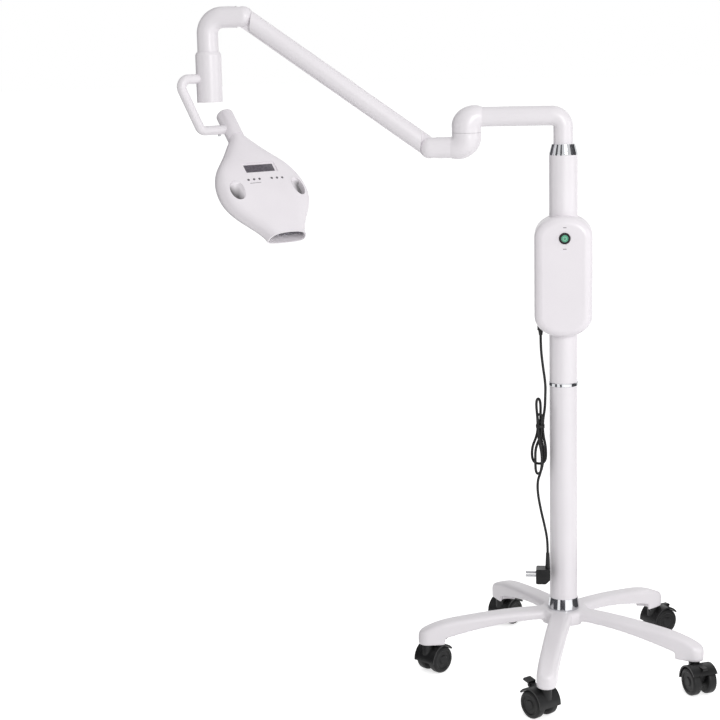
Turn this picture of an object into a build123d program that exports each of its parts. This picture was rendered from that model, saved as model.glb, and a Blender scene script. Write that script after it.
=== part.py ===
from build123d import *
from math import cos, dist, pi, radians, sin, tan
import os

# Teeth whitening lamp: a five-leg stand on casters, a column with a supply box,
# a jointed spring arm and a lamp head hung from a bent yoke.
# Millimetres. The origin is on the floor under the column, +Z is up, the arm
# reaches to -X and the switch side of the supply box faces -Y.

# Fits shared by every piece
running_fit = 0.05
seat_gap = 0.3
loose_gap = 0.4
overrun = 2.0

# Stand: legs and hub
leg_count = 5
first_leg_angle = -6.7
leg_circle = 256.0
leg_tip_half = 17.0
leg_root_half = 21.5
leg_wall = 4.0
leg_edge_round = 8.5
hub_radius = 45.0
hub_top = 116.0
hub_depth = 24.0
hub_edge_round = 5.0
leg_top_heights = (116.0, 112.5, 106.0, 96.0, 80.0)
leg_foot_heights = (99.0, 93.0, 81.0, 69.0)
leg_top_shares = (0.12, 0.43, 0.66, 0.87, 1.0)
leg_foot_shares = (0.16, 0.46, 0.7, 0.88)
socket_foot = 57.0
socket_radius = 15.5
socket_hole_top = 79.0
bolt_head_radius = 11.0
bolt_head_height = 8.0
bolt_radius = 6.0
bolt_length = 34.0
bolt_washer_radius = 17.0
bolt_washer_height = 3.0

# Stand: column
column_radius = 25.4
column_wall = 1.5
column_foot = 97.0
column_top = 955.0
ring_level = 541.5
ring_height = 6.4
ring_radius = 26.9
joiner_half_length = 62.0
joiner_wall = 2.5
foot_plug_height = 16.0
base_collar_height = 21.0
base_collar_foot_radius = 29.0
base_collar_lip = 2.0
top_collar_height = 19.0
top_collar_top_radius = 20.9
spigot_length = 62.0
spigot_floor = 6.0
spigot_hole_radius = 9.0

# Casters
stem_radius = 5.5
stem_bottom = 46.0
wheel_radius = 25.0
wheel_width = 17.4
wheel_space = 12.6
wheel_edge_round = 5.0
wheel_dish_depth = 1.8
wheel_dish_radius = 18.0
wheel_boss_radius = 7.5
axle_radius = 3.0
caster_trail = 18.0
hood_gap = 1.6
hood_wall = 3.0
hood_web = 10.0
hood_boss_radius = 10.0
hood_axle_round = 8.0
hood_front_drop = 2.0
hood_rear_rise = 19.0
trail_angles = (133.0, -64.5, 36.9, 53.1, 51.7)
lever_legs = (0, 4)
lever_reach = 15.0
lever_half_width = 8.0
lever_plate = 4.0
lever_cheek = 2.4
lever_pin_radius = 1.5
lever_round = 2.6
lever_bearing_angle = 36.0
lever_lean = 12.0

# Supply box
box_top = 849.5
box_bottom = 632.0
box_half_width = 51.5
box_end_rise = 38.0
box_front_depth = 46.0
box_back_depth = 33.0
box_front_round = 15.0
box_back_round = 9.0
box_wall = 2.5
box_post_radius = 5.2
box_post_x = 40.0
box_post_z = 66.0
box_screw_radius = 1.6
box_screw_head_radius = 3.2
box_screw_head_height = 2.4
box_screw_length = 36.0
box_screw_seat = 24.0
board_half_width = 32.0
board_half_height = 62.0
board_drop = 18.0
board_thickness = 1.6
board_face = 32.0
board_post_share = 0.88
part_height = 9.5
transformer_width = 34.0
transformer_length = 44.0
transformer_rise = 26.0
capacitor_radius = 5.0
capacitor_step = 20.0

# Power switch
switch_level = 811.0
switch_offset = 2.5
bezel_radius = 10.2
bezel_lip = 2.6
bezel_barrel_radius = 8.4
bezel_barrel_length = 13.0
bezel_floor = 1.6
button_radius = 6.3
button_flange_radius = 7.2
button_flange = 1.6
button_edge = 0.8
button_stand = 1.2
button_travel = 2.0

# Arm: lower link
arm_tube_radius = 17.5
arm_tube_wall = 1.6
arm_level = 1024.0
arm_bend = 20.5
swivel_reach = 171.2
knuckle_radius = 26.0
knuckle_neck = 18.0
knuckle_inner = 2.0
knuckle_seam = 996.5
knuckle_spigot = 24.0
knuckle_turn_shares = (0.0, 0.33, 0.67, 1.0)
knuckle_growth_shares = (0.0, 0.5, 0.94, 1.0)
pin_radius = 6.0
pin_top = 1030.0
pin_foot = 962.0
pin_head_radius = 9.0
pin_head_height = 4.0
hinge_level = 970.5
hinge_reach = 236.4
ball_radius = 19.0

# Arm: spring link
link_length = 407.6
link_rise = 35.7
link_radius = 17.0
link_wall = 1.5
link_far_start = 28.0
link_near_start = 9.0
link_plug = 42.0
ball_gap = 0.5
slot_half = 7.0
slot_radius = 22.0
tongue_half = 6.7
tongue_radius = 18.4
hinge_pin_radius = 4.0
hinge_pin_half = 18.0
coil_radius = 9.0
coil_wire = 1.3
coil_turns = 22
rod_radius = 3.0
rod_seat = 14.0
rod_reach = 310.0
rod_washer_radius = 12.5
rod_washer_height = 3.0
rod_nut_radius = 6.0
rod_nut_height = 5.5
rod_tail = 4.0

# Arm: end elbow and swivel sleeve
elbow_reach = 65.8
elbow_bend = 29.0
elbow_wall = 2.2
elbow_plug = 18.0
elbow_start = 26.0
sleeve_top = 1148.0
sleeve_bottom = 1058.5
sleeve_radius = 23.3
sleeve_wall = 2.4
sleeve_shoulder = 5.0
sleeve_shoulder_in = 3.0
sleeve_web_top = 1119.0
sleeve_web = 5.0
sleeve_lip = 1.2
swivel_pin_radius = 6.0
swivel_head_radius = 10.0
swivel_head_height = 2.6

# Yoke, a bent tube welded through the sleeve
yoke_angle = 40.0
yoke_radius = 8.5
yoke_wall = 1.8
yoke_top = 1101.0
yoke_foot = 1008.0
yoke_out = 64.3
yoke_in = 20.1
yoke_bend = 14.0
yoke_start = 18.0
yoke_end = 50.0
yoke_flange_radius = 10.5
yoke_flange_length = 2.6

# Lamp head
head_drop = 45.4
head_offset = 42.0
head_wall = 2.6
neck_radius = 16.0
neck_top = 38.0
neck_round = 5.0
head_mouth = 262.0
head_stations = (22.0, 38.0, 56.0, 76.0, 96.0, 118.0, 144.0, 170.0, 193.0, 216.0, 240.0, 262.0)
head_half_widths = (15.2, 24.0, 37.5, 53.5, 70.0, 81.5, 87.5, 86.0, 77.0, 62.0, 46.0, 38.5)
head_front_heights = (15.2, 17.6, 20.0, 22.5, 24.4, 25.6, 26.2, 26.0, 25.4, 24.8, 24.2, 24.0)
head_back_heights = (15.2, 18.0, 21.0, 25.0, 28.0, 30.0, 30.5, 29.0, 25.5, 20.0, 13.5, 9.0)
crown_steps = 8
crown_neck_power = 2.0
crown_power = 2.6
crown_full_at = 96.0

# Lamp head: display and keys
display_level = 114.5
display_half_width = 29.5
display_half_height = 8.6
display_thickness = 2.0
display_sink = 0.4
display_ledge = 1.2
frame_half_width = 34.0
frame_half_height = 12.0
frame_round = 2.5
frame_floor = 22.6
pad_floor = 18.4
pad_margin = 4.0
key_level = 142.0
key_offsets = (-34.5, -23.5, -12.5, 12.5, 23.5, 34.5)
key_heights = (25.3, 25.9, 26.1, 26.1, 25.9, 25.3)
key_radius = 2.1
key_stand = 0.9
key_flange_radius = 3.2
key_flange = 1.0
key_travel = 0.5
key_pad_half_width = 41.0
key_pad_half_height = 6.5
switch_radius = 1.6
control_board_half_width = 40.0
control_board_top = 100.0
control_board_bottom = 152.0
control_board_face = 13.4
control_board_thickness = 1.6
control_post_radius = 2.4
control_post_places = ((-37.0, 103.5), (37.0, 103.5), (-37.0, 149.0), (37.0, 149.0))

# Lamp head: grip recesses
grip_across = 62.0
grip_level = 159.0
grip_half_width = 10.8
grip_half_length = 18.6
grip_floor = 7.0
grip_cup_wall = 2.4
grip_taper = 9.0
grip_rise = 26.0

# Lamp head: light source
lens_level = 243.0
lens_thickness = 2.5
lens_rim = 3.0
lens_rim_thickness = 2.0
lamp_board_level = 232.0
lamp_board_half_width = 33.0
lamp_board_low = -6.0
lamp_board_high = 16.0
lamp_board_thickness = 2.0
lamp_radius = 3.6
lamp_stand = 2.0
lamp_columns = 5
lamp_column_step = 12.5
lamp_rows = 2
lamp_row_step = 10.5
sink_length = 34.0
sink_half_width = 31.0
sink_plate = 4.0
sink_fin_thickness = 2.0
sink_fins = 9
sink_post_radius = 3.0
sink_post_places = ((-24.0, 203.0), (24.0, 203.0), (-24.0, 223.0), (24.0, 223.0))
shell_screw_places = ((-18.0, 60.0), (18.0, 60.0), (-48.0, 193.0), (48.0, 193.0))
shell_boss_radius = 4.4
shell_screw_radius = 1.5
shell_screw_head_radius = 2.8
shell_screw_head_height = 2.0
shell_screw_seat = 10.0
shell_screw_tip = 9.0

# Mains lead
lead_radius = 2.4
arc_share = 0.45
gland_across = -41.0
gland_depth = 8.0
gland_boss_radius = 6.0
gland_boss_foot = 638.0
gland_root_radius = 4.6
gland_end_radius = 3.3
gland_mouth = 629.0
gland_top = 661.0
hank_across = -42.0
hank_depth = -22.0
hank_turn_shares = (0.0333, 0.4333, 0.2333, 0.8333, 0.6333)
hank_tops = (500.0, 515.6, 515.6, 489.6, 489.6)
hank_bottoms = (397.0, 397.0, 381.5, 381.5, 366.0)
hank_top_spread = 8.9
hank_bottom_spread = 12.6
hank_exit_spread = 7.0
hank_waist_spread = 4.7
hank_waist_top = 474.0
hank_waist_foot = 440.0
hank_lead_in = (0.03, 0.2, 1.0)
hank_lead_length = 18.0
hank_samples = 900
upper_route = ((-41.0, 8.0, 629.0), (-41.0, 8.0, 606.0), (-37.4, -1.5, 575.0))
upper_last_run = 24.0
lower_first_run = 22.0
lower_route = ((-41.5, -28.4, 311.0), (-33.5, -29.0, 277.0), (-29.0, -29.0, 251.0), (-29.0, -29.0, 229.0))
plug_right = -24.4
plug_width = 26.0
plug_foot = 172.0
plug_height = 28.0
plug_depth = 26.0
plug_centre = -29.0
plug_round = 3.0
plug_corner = 8.0
relief_root_radius = 4.5
relief_end_radius = 3.3
contact_radius = 2.4
contact_length = 19.0
contact_step = 19.0
contact_level = 188.0
contact_seat = 8.0
contact_root_radius = 1.8
contact_neck = 0.3

os.makedirs("parts", exist_ok=True)


def save(piece, name):
    """Labels a finished piece and writes it under its name."""
    piece.part.label = name
    export_step(piece.part, f"parts/{name}.step")


def turned(points, plane=Plane.XZ):
    """A piece turned about the plane's own upright axis, from radius and height pairs."""
    with BuildPart() as piece:
        with BuildSketch(plane):
            with BuildLine():
                Polyline(*points, close=True)
            make_face()
        revolve(axis=Axis(plane.origin, plane.y_dir))
    return piece


def upright_tube(outer, inner, bottom, top):
    """A plain tube about the column's axis."""
    return turned(((inner, bottom), (outer, bottom), (outer, top), (inner, top)))


# Legs and hub
def leg_azimuth(index):
    return radians(first_leg_angle + index * 360 / leg_count)


def leg_direction(index):
    angle = leg_azimuth(index)
    return Vector(sin(angle), -cos(angle), 0)


def leg_block(index):
    """One leg as its side outline, cut to its tapered plan with a round tip."""
    along = leg_direction(index)
    side = Plane(origin=(0, 0, 0), x_dir=along, z_dir=along.cross(Vector(0, 0, 1)))
    plan = Plane(origin=(0, 0, socket_foot), x_dir=along, z_dir=(0, 0, 1))
    tip = leg_circle + leg_tip_half
    top = [(tip * share, height) for share, height in zip(leg_top_shares, leg_top_heights)]
    foot = [(leg_circle * share, height) for share, height in zip(leg_foot_shares, leg_foot_heights)]
    with BuildPart() as block:
        with BuildSketch(side.offset(-leg_root_half)):
            with BuildLine():
                Line((0, hub_top), top[0])
                Spline(*top)
                Line(top[-1], (tip, socket_foot))
                Line((tip, socket_foot), (foot[-1][0], socket_foot))
                Line((foot[-1][0], socket_foot), foot[-1])
                Spline(*reversed(foot))
                Line(foot[0], (0, foot[0][1]))
                Line((0, foot[0][1]), (0, hub_top))
            make_face()
        extrude(amount=2 * leg_root_half)
        with BuildSketch(plan):
            Circle(leg_root_half)
            with Locations((leg_circle, 0)):
                Circle(leg_tip_half)
            make_hull()
        extrude(amount=hub_top, mode=Mode.INTERSECT)
        crown = block.faces().filter_by(GeomType.EXTRUSION).sort_by(Axis.Z)[-1]
        fillet(crown.edges().filter_by(GeomType.BSPLINE), radius=leg_edge_round)
    return block


def leg_channel(index):
    """The hollow under a leg, open at the bottom."""
    along = leg_direction(index)
    side = Plane(origin=(0, 0, 0), x_dir=along, z_dir=along.cross(Vector(0, 0, 1)))
    plan = Plane(origin=(0, 0, 0), x_dir=along, z_dir=(0, 0, 1))
    end = leg_circle - socket_radius - leg_wall
    start = hub_radius
    top = [
        (share * (leg_circle + leg_tip_half), height - leg_wall)
        for share, height in zip(leg_top_shares, leg_top_heights)
    ]
    with BuildPart() as channel:
        with BuildSketch(side):
            with BuildLine():
                Spline(*top)
                Polyline(top[-1], (top[-1][0], 0), (top[0][0], 0), top[0])
            make_face()
        extrude(amount=leg_root_half, both=True)
        with BuildSketch(plan):
            with Locations((start, 0)):
                Circle(leg_tip_half - leg_wall)
            with Locations((end - leg_tip_half + leg_wall, 0)):
                Circle(leg_tip_half - leg_wall)
            make_hull()
        extrude(amount=hub_top, mode=Mode.INTERSECT)
    return channel


legs = [leg_block(index) for index in range(leg_count)]
channels = [leg_channel(index) for index in range(leg_count)]

hub_foot = hub_top - hub_depth
with BuildPart() as star_base:
    with BuildSketch(Plane.XY.offset(hub_foot)):
        Circle(hub_radius)
    extrude(amount=hub_depth)
    fillet(star_base.edges().group_by(Axis.Z)[-1], radius=hub_edge_round)
    for leg in legs:
        add(leg.part)
    for channel in channels:
        add(channel.part, mode=Mode.SUBTRACT)
    for index in range(leg_count):
        stem_at = leg_direction(index) * leg_circle
        with BuildSketch(Plane(origin=(stem_at.X, stem_at.Y, socket_foot), z_dir=(0, 0, 1))):
            Circle(socket_radius)
        extrude(amount=socket_hole_top - socket_foot)
        with BuildSketch(Plane(origin=(stem_at.X, stem_at.Y, socket_foot), z_dir=(0, 0, 1))):
            Circle(stem_radius)
        extrude(amount=socket_hole_top - socket_foot, mode=Mode.SUBTRACT)
    with BuildSketch(Plane.XY.offset(column_foot)):
        Circle(column_radius)
    extrude(amount=hub_depth, mode=Mode.SUBTRACT)
    with BuildSketch(Plane.XY.offset(hub_foot)):
        Circle(bolt_radius)
    extrude(amount=hub_depth, mode=Mode.SUBTRACT)
save(star_base, "star_base")

# Hub bolt: a washer and a hexagon head under the hub, its shank up in the column's foot plug
washer_foot = hub_foot - bolt_washer_height
with BuildPart() as hub_bolt:
    with BuildSketch(Plane.XY.offset(washer_foot)):
        Circle(bolt_washer_radius)
    extrude(amount=bolt_washer_height)
    with BuildSketch(Plane.XY.offset(washer_foot - bolt_head_height)):
        RegularPolygon(bolt_head_radius, 6)
    extrude(amount=bolt_head_height)
    with BuildSketch(Plane.XY.offset(hub_foot)):
        Circle(bolt_radius)
    extrude(amount=bolt_length)
save(hub_bolt, "hub_bolt")

# Column
ring_foot = ring_level - ring_height / 2
ring_top = ring_level + ring_height / 2
column_bore = column_radius - column_wall

with BuildPart() as lower_column:
    add(upright_tube(column_radius, column_bore, column_foot, ring_foot).part)
    with BuildSketch(Plane.XY.offset(column_foot)):
        Circle(column_radius)
        Circle(bolt_radius, mode=Mode.SUBTRACT)
    extrude(amount=foot_plug_height)
save(lower_column, "lower_column")

upper_column = upright_tube(column_radius, column_bore, ring_top, column_top)
save(upper_column, "upper_column")

column_joiner = upright_tube(
    column_bore, column_bore - joiner_wall, ring_level - joiner_half_length, ring_level + joiner_half_length
)
save(column_joiner, "column_joiner")

ring_bulge = (ring_radius - column_radius) / 2
mid_ring = turned(
    (
        (column_bore, ring_foot),
        (ring_radius - ring_bulge, ring_foot),
        (ring_radius, ring_foot + ring_bulge),
        (ring_radius, ring_top - ring_bulge),
        (ring_radius - ring_bulge, ring_top),
        (column_bore, ring_top),
    )
)
save(mid_ring, "mid_ring")

base_collar = turned(
    (
        (column_radius, hub_top),
        (base_collar_foot_radius, hub_top),
        (base_collar_foot_radius, hub_top + base_collar_lip),
        (column_radius + base_collar_lip / 2, hub_top + base_collar_height),
        (column_radius, hub_top + base_collar_height),
    )
)
save(base_collar, "base_collar")

tube_bearing = arm_tube_radius + running_fit
spigot_foot = column_top - spigot_length
top_collar = turned(
    (
        (tube_bearing, column_top + top_collar_height),
        (top_collar_top_radius, column_top + top_collar_height),
        (column_radius, column_top + base_collar_lip),
        (column_radius, column_top),
        (column_bore, column_top),
        (column_bore, spigot_foot),
        (spigot_hole_radius, spigot_foot),
        (spigot_hole_radius, spigot_foot + spigot_floor),
        (tube_bearing, spigot_foot + spigot_floor),
    )
)
save(top_collar, "top_collar")

# Casters: each is worked out in its own side plane, x along the trail and y up
hood_inner = wheel_radius + hood_gap
hood_outer = hood_inner + hood_wall
hood_half = wheel_space / 2 + wheel_width
hood_top = socket_foot - seat_gap
lever_arm = hood_outer + lever_round + loose_gap
lever_place = (
    caster_trail + lever_arm * cos(radians(90 - lever_bearing_angle)),
    wheel_radius + lever_arm * sin(radians(90 - lever_bearing_angle)),
)


def caster_side(index):
    """The upright plane through a caster's stem, x along its trail."""
    stem_at = leg_direction(index) * leg_circle
    trail = radians(trail_angles[index])
    along = Vector(cos(trail), sin(trail), 0)
    return Plane(origin=(stem_at.X, stem_at.Y, 0), x_dir=along, z_dir=along.cross(Vector(0, 0, 1)))


def caster_hood(side):
    """The hood over both wheels, its web between them and the boss round the stem."""
    top = Plane(origin=side.origin, z_dir=(0, 0, 1))
    front = caster_trail - hood_outer
    rear = caster_trail + hood_outer
    with BuildPart() as hood:
        with BuildSketch(side):
            with Locations((caster_trail, wheel_radius)):
                Circle(hood_outer)
            with BuildLine():
                Polyline(
                    (front, wheel_radius - hood_front_drop),
                    (rear, wheel_radius + hood_rear_rise),
                    (rear, hood_top + hood_outer),
                    (front, hood_top + hood_outer),
                    close=True,
                )
            make_face(mode=Mode.INTERSECT)
        extrude(amount=hood_half, both=True)
        with BuildSketch(top.offset(stem_bottom - hood_boss_radius)):
            Circle(hood_boss_radius)
        extrude(amount=hood_top - stem_bottom + hood_boss_radius)
        for face in (side.offset(hood_web / 2), side.offset(-hood_web / 2 - hood_half)):
            with BuildSketch(face):
                with Locations((caster_trail, wheel_radius)):
                    Circle(hood_inner)
            extrude(amount=hood_half, mode=Mode.SUBTRACT)
        with BuildSketch(side):
            with Locations((caster_trail, wheel_radius)):
                Circle(hood_axle_round)
            with Locations((0, stem_bottom)):
                Circle(hood_axle_round)
            with Locations(lever_place):
                Circle(lever_round)
            make_hull()
        extrude(amount=hood_web / 2, both=True)
        with BuildSketch(side):
            with Locations((caster_trail, wheel_radius)):
                Circle(axle_radius + running_fit)
            with Locations(lever_place):
                Circle(lever_pin_radius + running_fit)
        extrude(amount=hood_half, both=True, mode=Mode.SUBTRACT)
        with BuildSketch(top.offset(stem_bottom - seat_gap)):
            Circle(stem_radius + running_fit)
        extrude(amount=hood_top, mode=Mode.SUBTRACT)
    return hood


def caster_wheels(side):
    """Two wheels with dished outer faces, on the axle that joins them."""
    axle_at = side.from_local_coords((caster_trail, wheel_radius, 0))
    inside = wheel_space / 2
    outside = inside + wheel_width
    profile = Plane(origin=axle_at, x_dir=(0, 0, 1), z_dir=side.x_dir)
    with BuildPart() as wheels:
        for hand in (1, -1):
            with BuildSketch(profile):
                with BuildLine():
                    Polyline(
                        (axle_radius, hand * inside),
                        (wheel_radius, hand * inside),
                        (wheel_radius, hand * outside),
                        (wheel_dish_radius, hand * outside),
                        (wheel_dish_radius - wheel_dish_depth, hand * (outside - wheel_dish_depth)),
                        (wheel_boss_radius + wheel_dish_depth, hand * (outside - wheel_dish_depth)),
                        (wheel_boss_radius, hand * outside),
                        (axle_radius, hand * outside),
                        close=True,
                    )
                make_face()
            revolve(axis=Axis(profile.origin, profile.y_dir))
        rounds = wheels.edges().filter_by(GeomType.CIRCLE)
        fillet([edge for edge in rounds if edge.radius > wheel_dish_radius + axle_radius], radius=wheel_edge_round)
        with BuildSketch(side.offset(-outside)):
            with Locations((caster_trail, wheel_radius)):
                Circle(axle_radius)
        extrude(amount=outside + outside)
    return wheels


def brake_lever(side):
    """A foot lever: two cheeks on a cross pin in the web, and a tread plate."""
    cheek_in = hood_web / 2 + seat_gap / 2
    lean = radians(lever_lean)
    lift = lever_round + seat_gap
    foot = (lever_place[0] - lift * sin(lean), lever_place[1] + lift * cos(lean))
    tip = (foot[0] + lever_reach * cos(lean), foot[1] + lever_reach * sin(lean))
    rise = (-lever_plate * sin(lean), lever_plate * cos(lean))
    plate = (foot, tip, (tip[0] + rise[0], tip[1] + rise[1]), (foot[0] + rise[0], foot[1] + rise[1]))
    root = (foot[0] + rise[0] / 2 + lever_plate / 2, foot[1] + rise[1] / 2)
    with BuildPart() as lever:
        with BuildSketch(side):
            with BuildLine():
                Polyline(*plate, close=True)
            make_face()
        extrude(amount=lever_half_width, both=True)
        for start in (cheek_in, -cheek_in - lever_cheek):
            with BuildSketch(side.offset(start)):
                with Locations(lever_place):
                    Circle(lever_round)
                with Locations(root):
                    Circle(lever_plate / 2)
                make_hull()
            extrude(amount=lever_cheek)
        with BuildSketch(side.offset(-cheek_in - lever_cheek)):
            with Locations(lever_place):
                Circle(lever_pin_radius)
        extrude(amount=2 * (cheek_in + lever_cheek))
    return lever


for index in range(leg_count):
    side = caster_side(index)
    save(caster_hood(side), f"caster_hood_{index + 1}")
    save(caster_wheels(side), f"caster_wheels_{index + 1}")
for number, index in enumerate(lever_legs):
    save(brake_lever(caster_side(index)), f"brake_lever_{number + 1}")

with BuildPart() as caster_stems:
    for index in range(leg_count):
        stem_at = leg_direction(index) * leg_circle
        with BuildSketch(Plane(origin=(stem_at.X, stem_at.Y, stem_bottom), z_dir=(0, 0, 1))):
            Circle(stem_radius)
        extrude(amount=socket_hole_top - stem_bottom - seat_gap)
save(caster_stems, "caster_stems")


# Supply box: front and back covers clamped round the column
box_middle = (box_top + box_bottom) / 2
box_straight = box_top - box_bottom - 2 * box_end_rise


def box_block(depth, inset):
    """The box's outline carried forward from the parting plane, or back where the depth is negative."""
    ends = (box_middle - box_straight / 2, box_middle + box_straight / 2)
    with BuildPart() as block:
        with BuildSketch(Plane.XZ):
            with Locations(*[(0, level) for level in ends]):
                Ellipse(box_half_width - inset, box_end_rise - inset)
            with Locations((0, box_middle)):
                Rectangle(2 * (box_half_width - inset), box_straight)
        extrude(amount=depth)
    return block


def box_cover(depth, rounding):
    """A cover: the rounded outside less the same shape a wall thinner."""
    hand = 1 if depth > 0 else -1
    with BuildPart() as cover:
        add(box_block(depth, 0).part)
        fillet(cover.faces().sort_by(Axis.Y)[0 if hand > 0 else -1].edges(), radius=rounding)
        with BuildPart(mode=Mode.PRIVATE) as hollow:
            add(box_block(depth - hand * box_wall, box_wall).part)
            far = hollow.faces().sort_by(Axis.Y)[0 if hand > 0 else -1]
            fillet(far.edges(), radius=rounding - box_wall)
        add(hollow.part, mode=Mode.SUBTRACT)
    return cover


def depth_plane(y):
    """The upright plane at this depth, its normal toward the switch side."""
    return Plane.XZ.offset(-y)


board_level = box_middle - board_drop
board_posts = [
    (hand * board_post_share * board_half_width, board_level + rise * board_post_share * board_half_height)
    for hand in (-1, 1)
    for rise in (-1, 1)
]
box_posts = [(hand * box_post_x, box_middle + rise * box_post_z) for hand in (-1, 1) for rise in (-1, 1)]
front_inside = box_front_depth - box_wall
back_inside = box_back_depth - box_wall
box_screw_tip = box_screw_seat - box_screw_length

with BuildPart() as box_front:
    add(box_cover(box_front_depth, box_front_round).part)
    with BuildSketch(depth_plane(0)):
        with Locations(*box_posts):
            Circle(box_post_radius)
    extrude(amount=front_inside)
    with BuildSketch(depth_plane(-board_face)):
        with Locations(*board_posts):
            Circle(box_screw_head_radius)
    extrude(amount=front_inside - board_face)
    with BuildSketch(depth_plane(0)):
        with Locations(*box_posts):
            Circle(box_screw_radius)
    extrude(amount=-box_screw_tip, mode=Mode.SUBTRACT)
    with BuildSketch(depth_plane(0)):
        with Locations((switch_offset, switch_level)):
            Circle(bezel_barrel_radius)
    extrude(amount=box_front_depth, mode=Mode.SUBTRACT)
    with BuildSketch(Plane.XY):
        Circle(column_radius)
    extrude(amount=column_top, mode=Mode.SUBTRACT)
save(box_front, "box_front")

with BuildPart() as box_back:
    add(box_cover(-box_back_depth, box_back_round).part)
    with BuildSketch(depth_plane(0)):
        with Locations(*box_posts):
            Circle(box_post_radius)
    extrude(amount=-back_inside)
    with BuildSketch(depth_plane(0)):
        with Locations(*box_posts):
            Circle(box_screw_radius + loose_gap)
    extrude(amount=-box_screw_seat, mode=Mode.SUBTRACT)
    with BuildSketch(depth_plane(box_screw_seat)):
        with Locations(*box_posts):
            Circle(box_screw_head_radius + loose_gap)
    extrude(amount=-box_back_depth, mode=Mode.SUBTRACT)
    with BuildSketch(Plane.XY):
        Circle(column_radius)
    extrude(amount=column_top, mode=Mode.SUBTRACT)
    with BuildSketch(Plane.XY.offset(gland_boss_foot)):
        with Locations((gland_across, gland_depth)):
            Circle(gland_root_radius)
    extrude(amount=gland_top - gland_boss_foot, mode=Mode.SUBTRACT)
save(box_back, "box_back")

with BuildPart() as box_screws:
    with BuildSketch(depth_plane(box_screw_tip)):
        with Locations(*box_posts):
            Circle(box_screw_radius)
    extrude(amount=-box_screw_length)
    with BuildSketch(depth_plane(box_screw_seat)):
        with Locations(*box_posts):
            Circle(box_screw_head_radius)
            RegularPolygon(box_screw_radius, 6, mode=Mode.SUBTRACT)
    extrude(amount=-box_screw_head_height)
save(box_screws, "box_screws")

with BuildPart() as supply_board:
    with BuildSketch(depth_plane(board_thickness - board_face)):
        with Locations((0, board_level)):
            Rectangle(2 * board_half_width, 2 * board_half_height)
    extrude(amount=board_thickness)
    with BuildSketch(depth_plane(-board_face)):
        with Locations((0, board_level + transformer_rise)):
            Rectangle(transformer_width, transformer_length)
    extrude(amount=part_height)
    with BuildSketch(depth_plane(-board_face)):
        with Locations((0, board_level - transformer_rise)):
            with GridLocations(capacitor_step, capacitor_step, 2, 2):
                Circle(capacitor_radius)
    extrude(amount=part_height - capacitor_radius / 2)
save(supply_board, "supply_board")

# Power switch: a lipped barrel in the front cover and a button held in it by its flange
switch_plane = Plane(origin=(switch_offset, -box_front_depth, switch_level), x_dir=(1, 0, 0), z_dir=(0, 0, -1))
bezel_bore = button_radius + running_fit
flange_bore = button_flange_radius + running_fit
flange_foot = -bezel_barrel_length + bezel_floor + button_travel + seat_gap
flange_top = flange_foot + button_flange

switch_bezel = turned(
    (
        (0, -bezel_barrel_length),
        (bezel_barrel_radius, -bezel_barrel_length),
        (bezel_barrel_radius, 0),
        (bezel_radius, 0),
        (bezel_radius, bezel_lip / 2),
        (bezel_radius - bezel_lip / 2, bezel_lip),
        (bezel_bore, bezel_lip),
        (bezel_bore, flange_top + seat_gap),
        (flange_bore, flange_top + seat_gap),
        (flange_bore, -bezel_barrel_length + bezel_floor),
        (0, -bezel_barrel_length + bezel_floor),
    ),
    switch_plane,
)
save(switch_bezel, "switch_bezel")

button_top = bezel_lip + button_stand
switch_button = turned(
    (
        (0, flange_foot),
        (button_flange_radius, flange_foot),
        (button_flange_radius, flange_top),
        (button_radius, flange_top),
        (button_radius, button_top - button_edge),
        (button_radius - button_edge, button_top),
        (0, button_top - button_edge / 2),
    ),
    switch_plane,
)
save(switch_button, "switch_button")

# Cord gland through the back cover's lower curve, with a nut inside
with BuildPart() as cord_gland:
    with BuildSketch(Plane.XY.offset(gland_boss_foot)):
        with Locations((gland_across, gland_depth)):
            Circle(gland_boss_radius)
    extrude(amount=gland_top - gland_boss_foot)
    add(box_block(-box_back_depth, 0).part, mode=Mode.SUBTRACT)
    with BuildSketch(Plane.XY.offset(gland_boss_foot)):
        with Locations((gland_across, gland_depth)):
            Circle(gland_root_radius)
    extrude(amount=gland_top - gland_boss_foot)
    with BuildSketch(Plane.XY.offset(gland_boss_foot)):
        with Locations((gland_across, gland_depth)):
            Circle(gland_root_radius)
    with BuildSketch(Plane.XY.offset(gland_mouth)):
        with Locations((gland_across, gland_depth)):
            Circle(gland_end_radius)
    loft()
save(cord_gland, "cord_gland")


# Lower arm: a bent tube that turns in the column's top, and the two halves of the swivel knuckle
hinge_a = Vector(-hinge_reach, 0, hinge_level)
upper_corner = Vector(knuckle_radius + knuckle_inner - swivel_reach, 0, arm_level - knuckle_neck - knuckle_inner)
lower_corner = Vector(-swivel_reach - knuckle_radius - knuckle_inner, 0, hinge_level + ball_radius + knuckle_inner)
tube_foot = spigot_foot + spigot_floor + seat_gap
tube_bore = arm_tube_radius - arm_tube_wall


def fan(corner, start, turn, radii):
    """A bend that changes girth: circles set round a corner and lofted from one to the next."""
    with BuildPart() as bend:
        for share, radius in zip(knuckle_turn_shares, radii):
            angle = radians(start + turn * share)
            outward = Vector(cos(angle), 0, sin(angle))
            place = corner + outward * (radius + knuckle_inner)
            with BuildSketch(Plane(origin=place, x_dir=(0, 1, 0), z_dir=outward.cross(Vector(0, 1, 0)))):
                Circle(radius)
        loft()
    return bend


def ball_and_slot(centre):
    """The block that parts a hinge ball into two cheeks, with its pin hole."""
    across = Plane(origin=centre, x_dir=(1, 0, 0), z_dir=(0, -1, 0))
    with BuildPart() as cut:
        with BuildSketch(across):
            Circle(slot_radius)
        extrude(amount=slot_half, both=True)
        with BuildSketch(across):
            Circle(hinge_pin_radius)
        extrude(amount=hinge_pin_half, both=True)
    return cut


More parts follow.
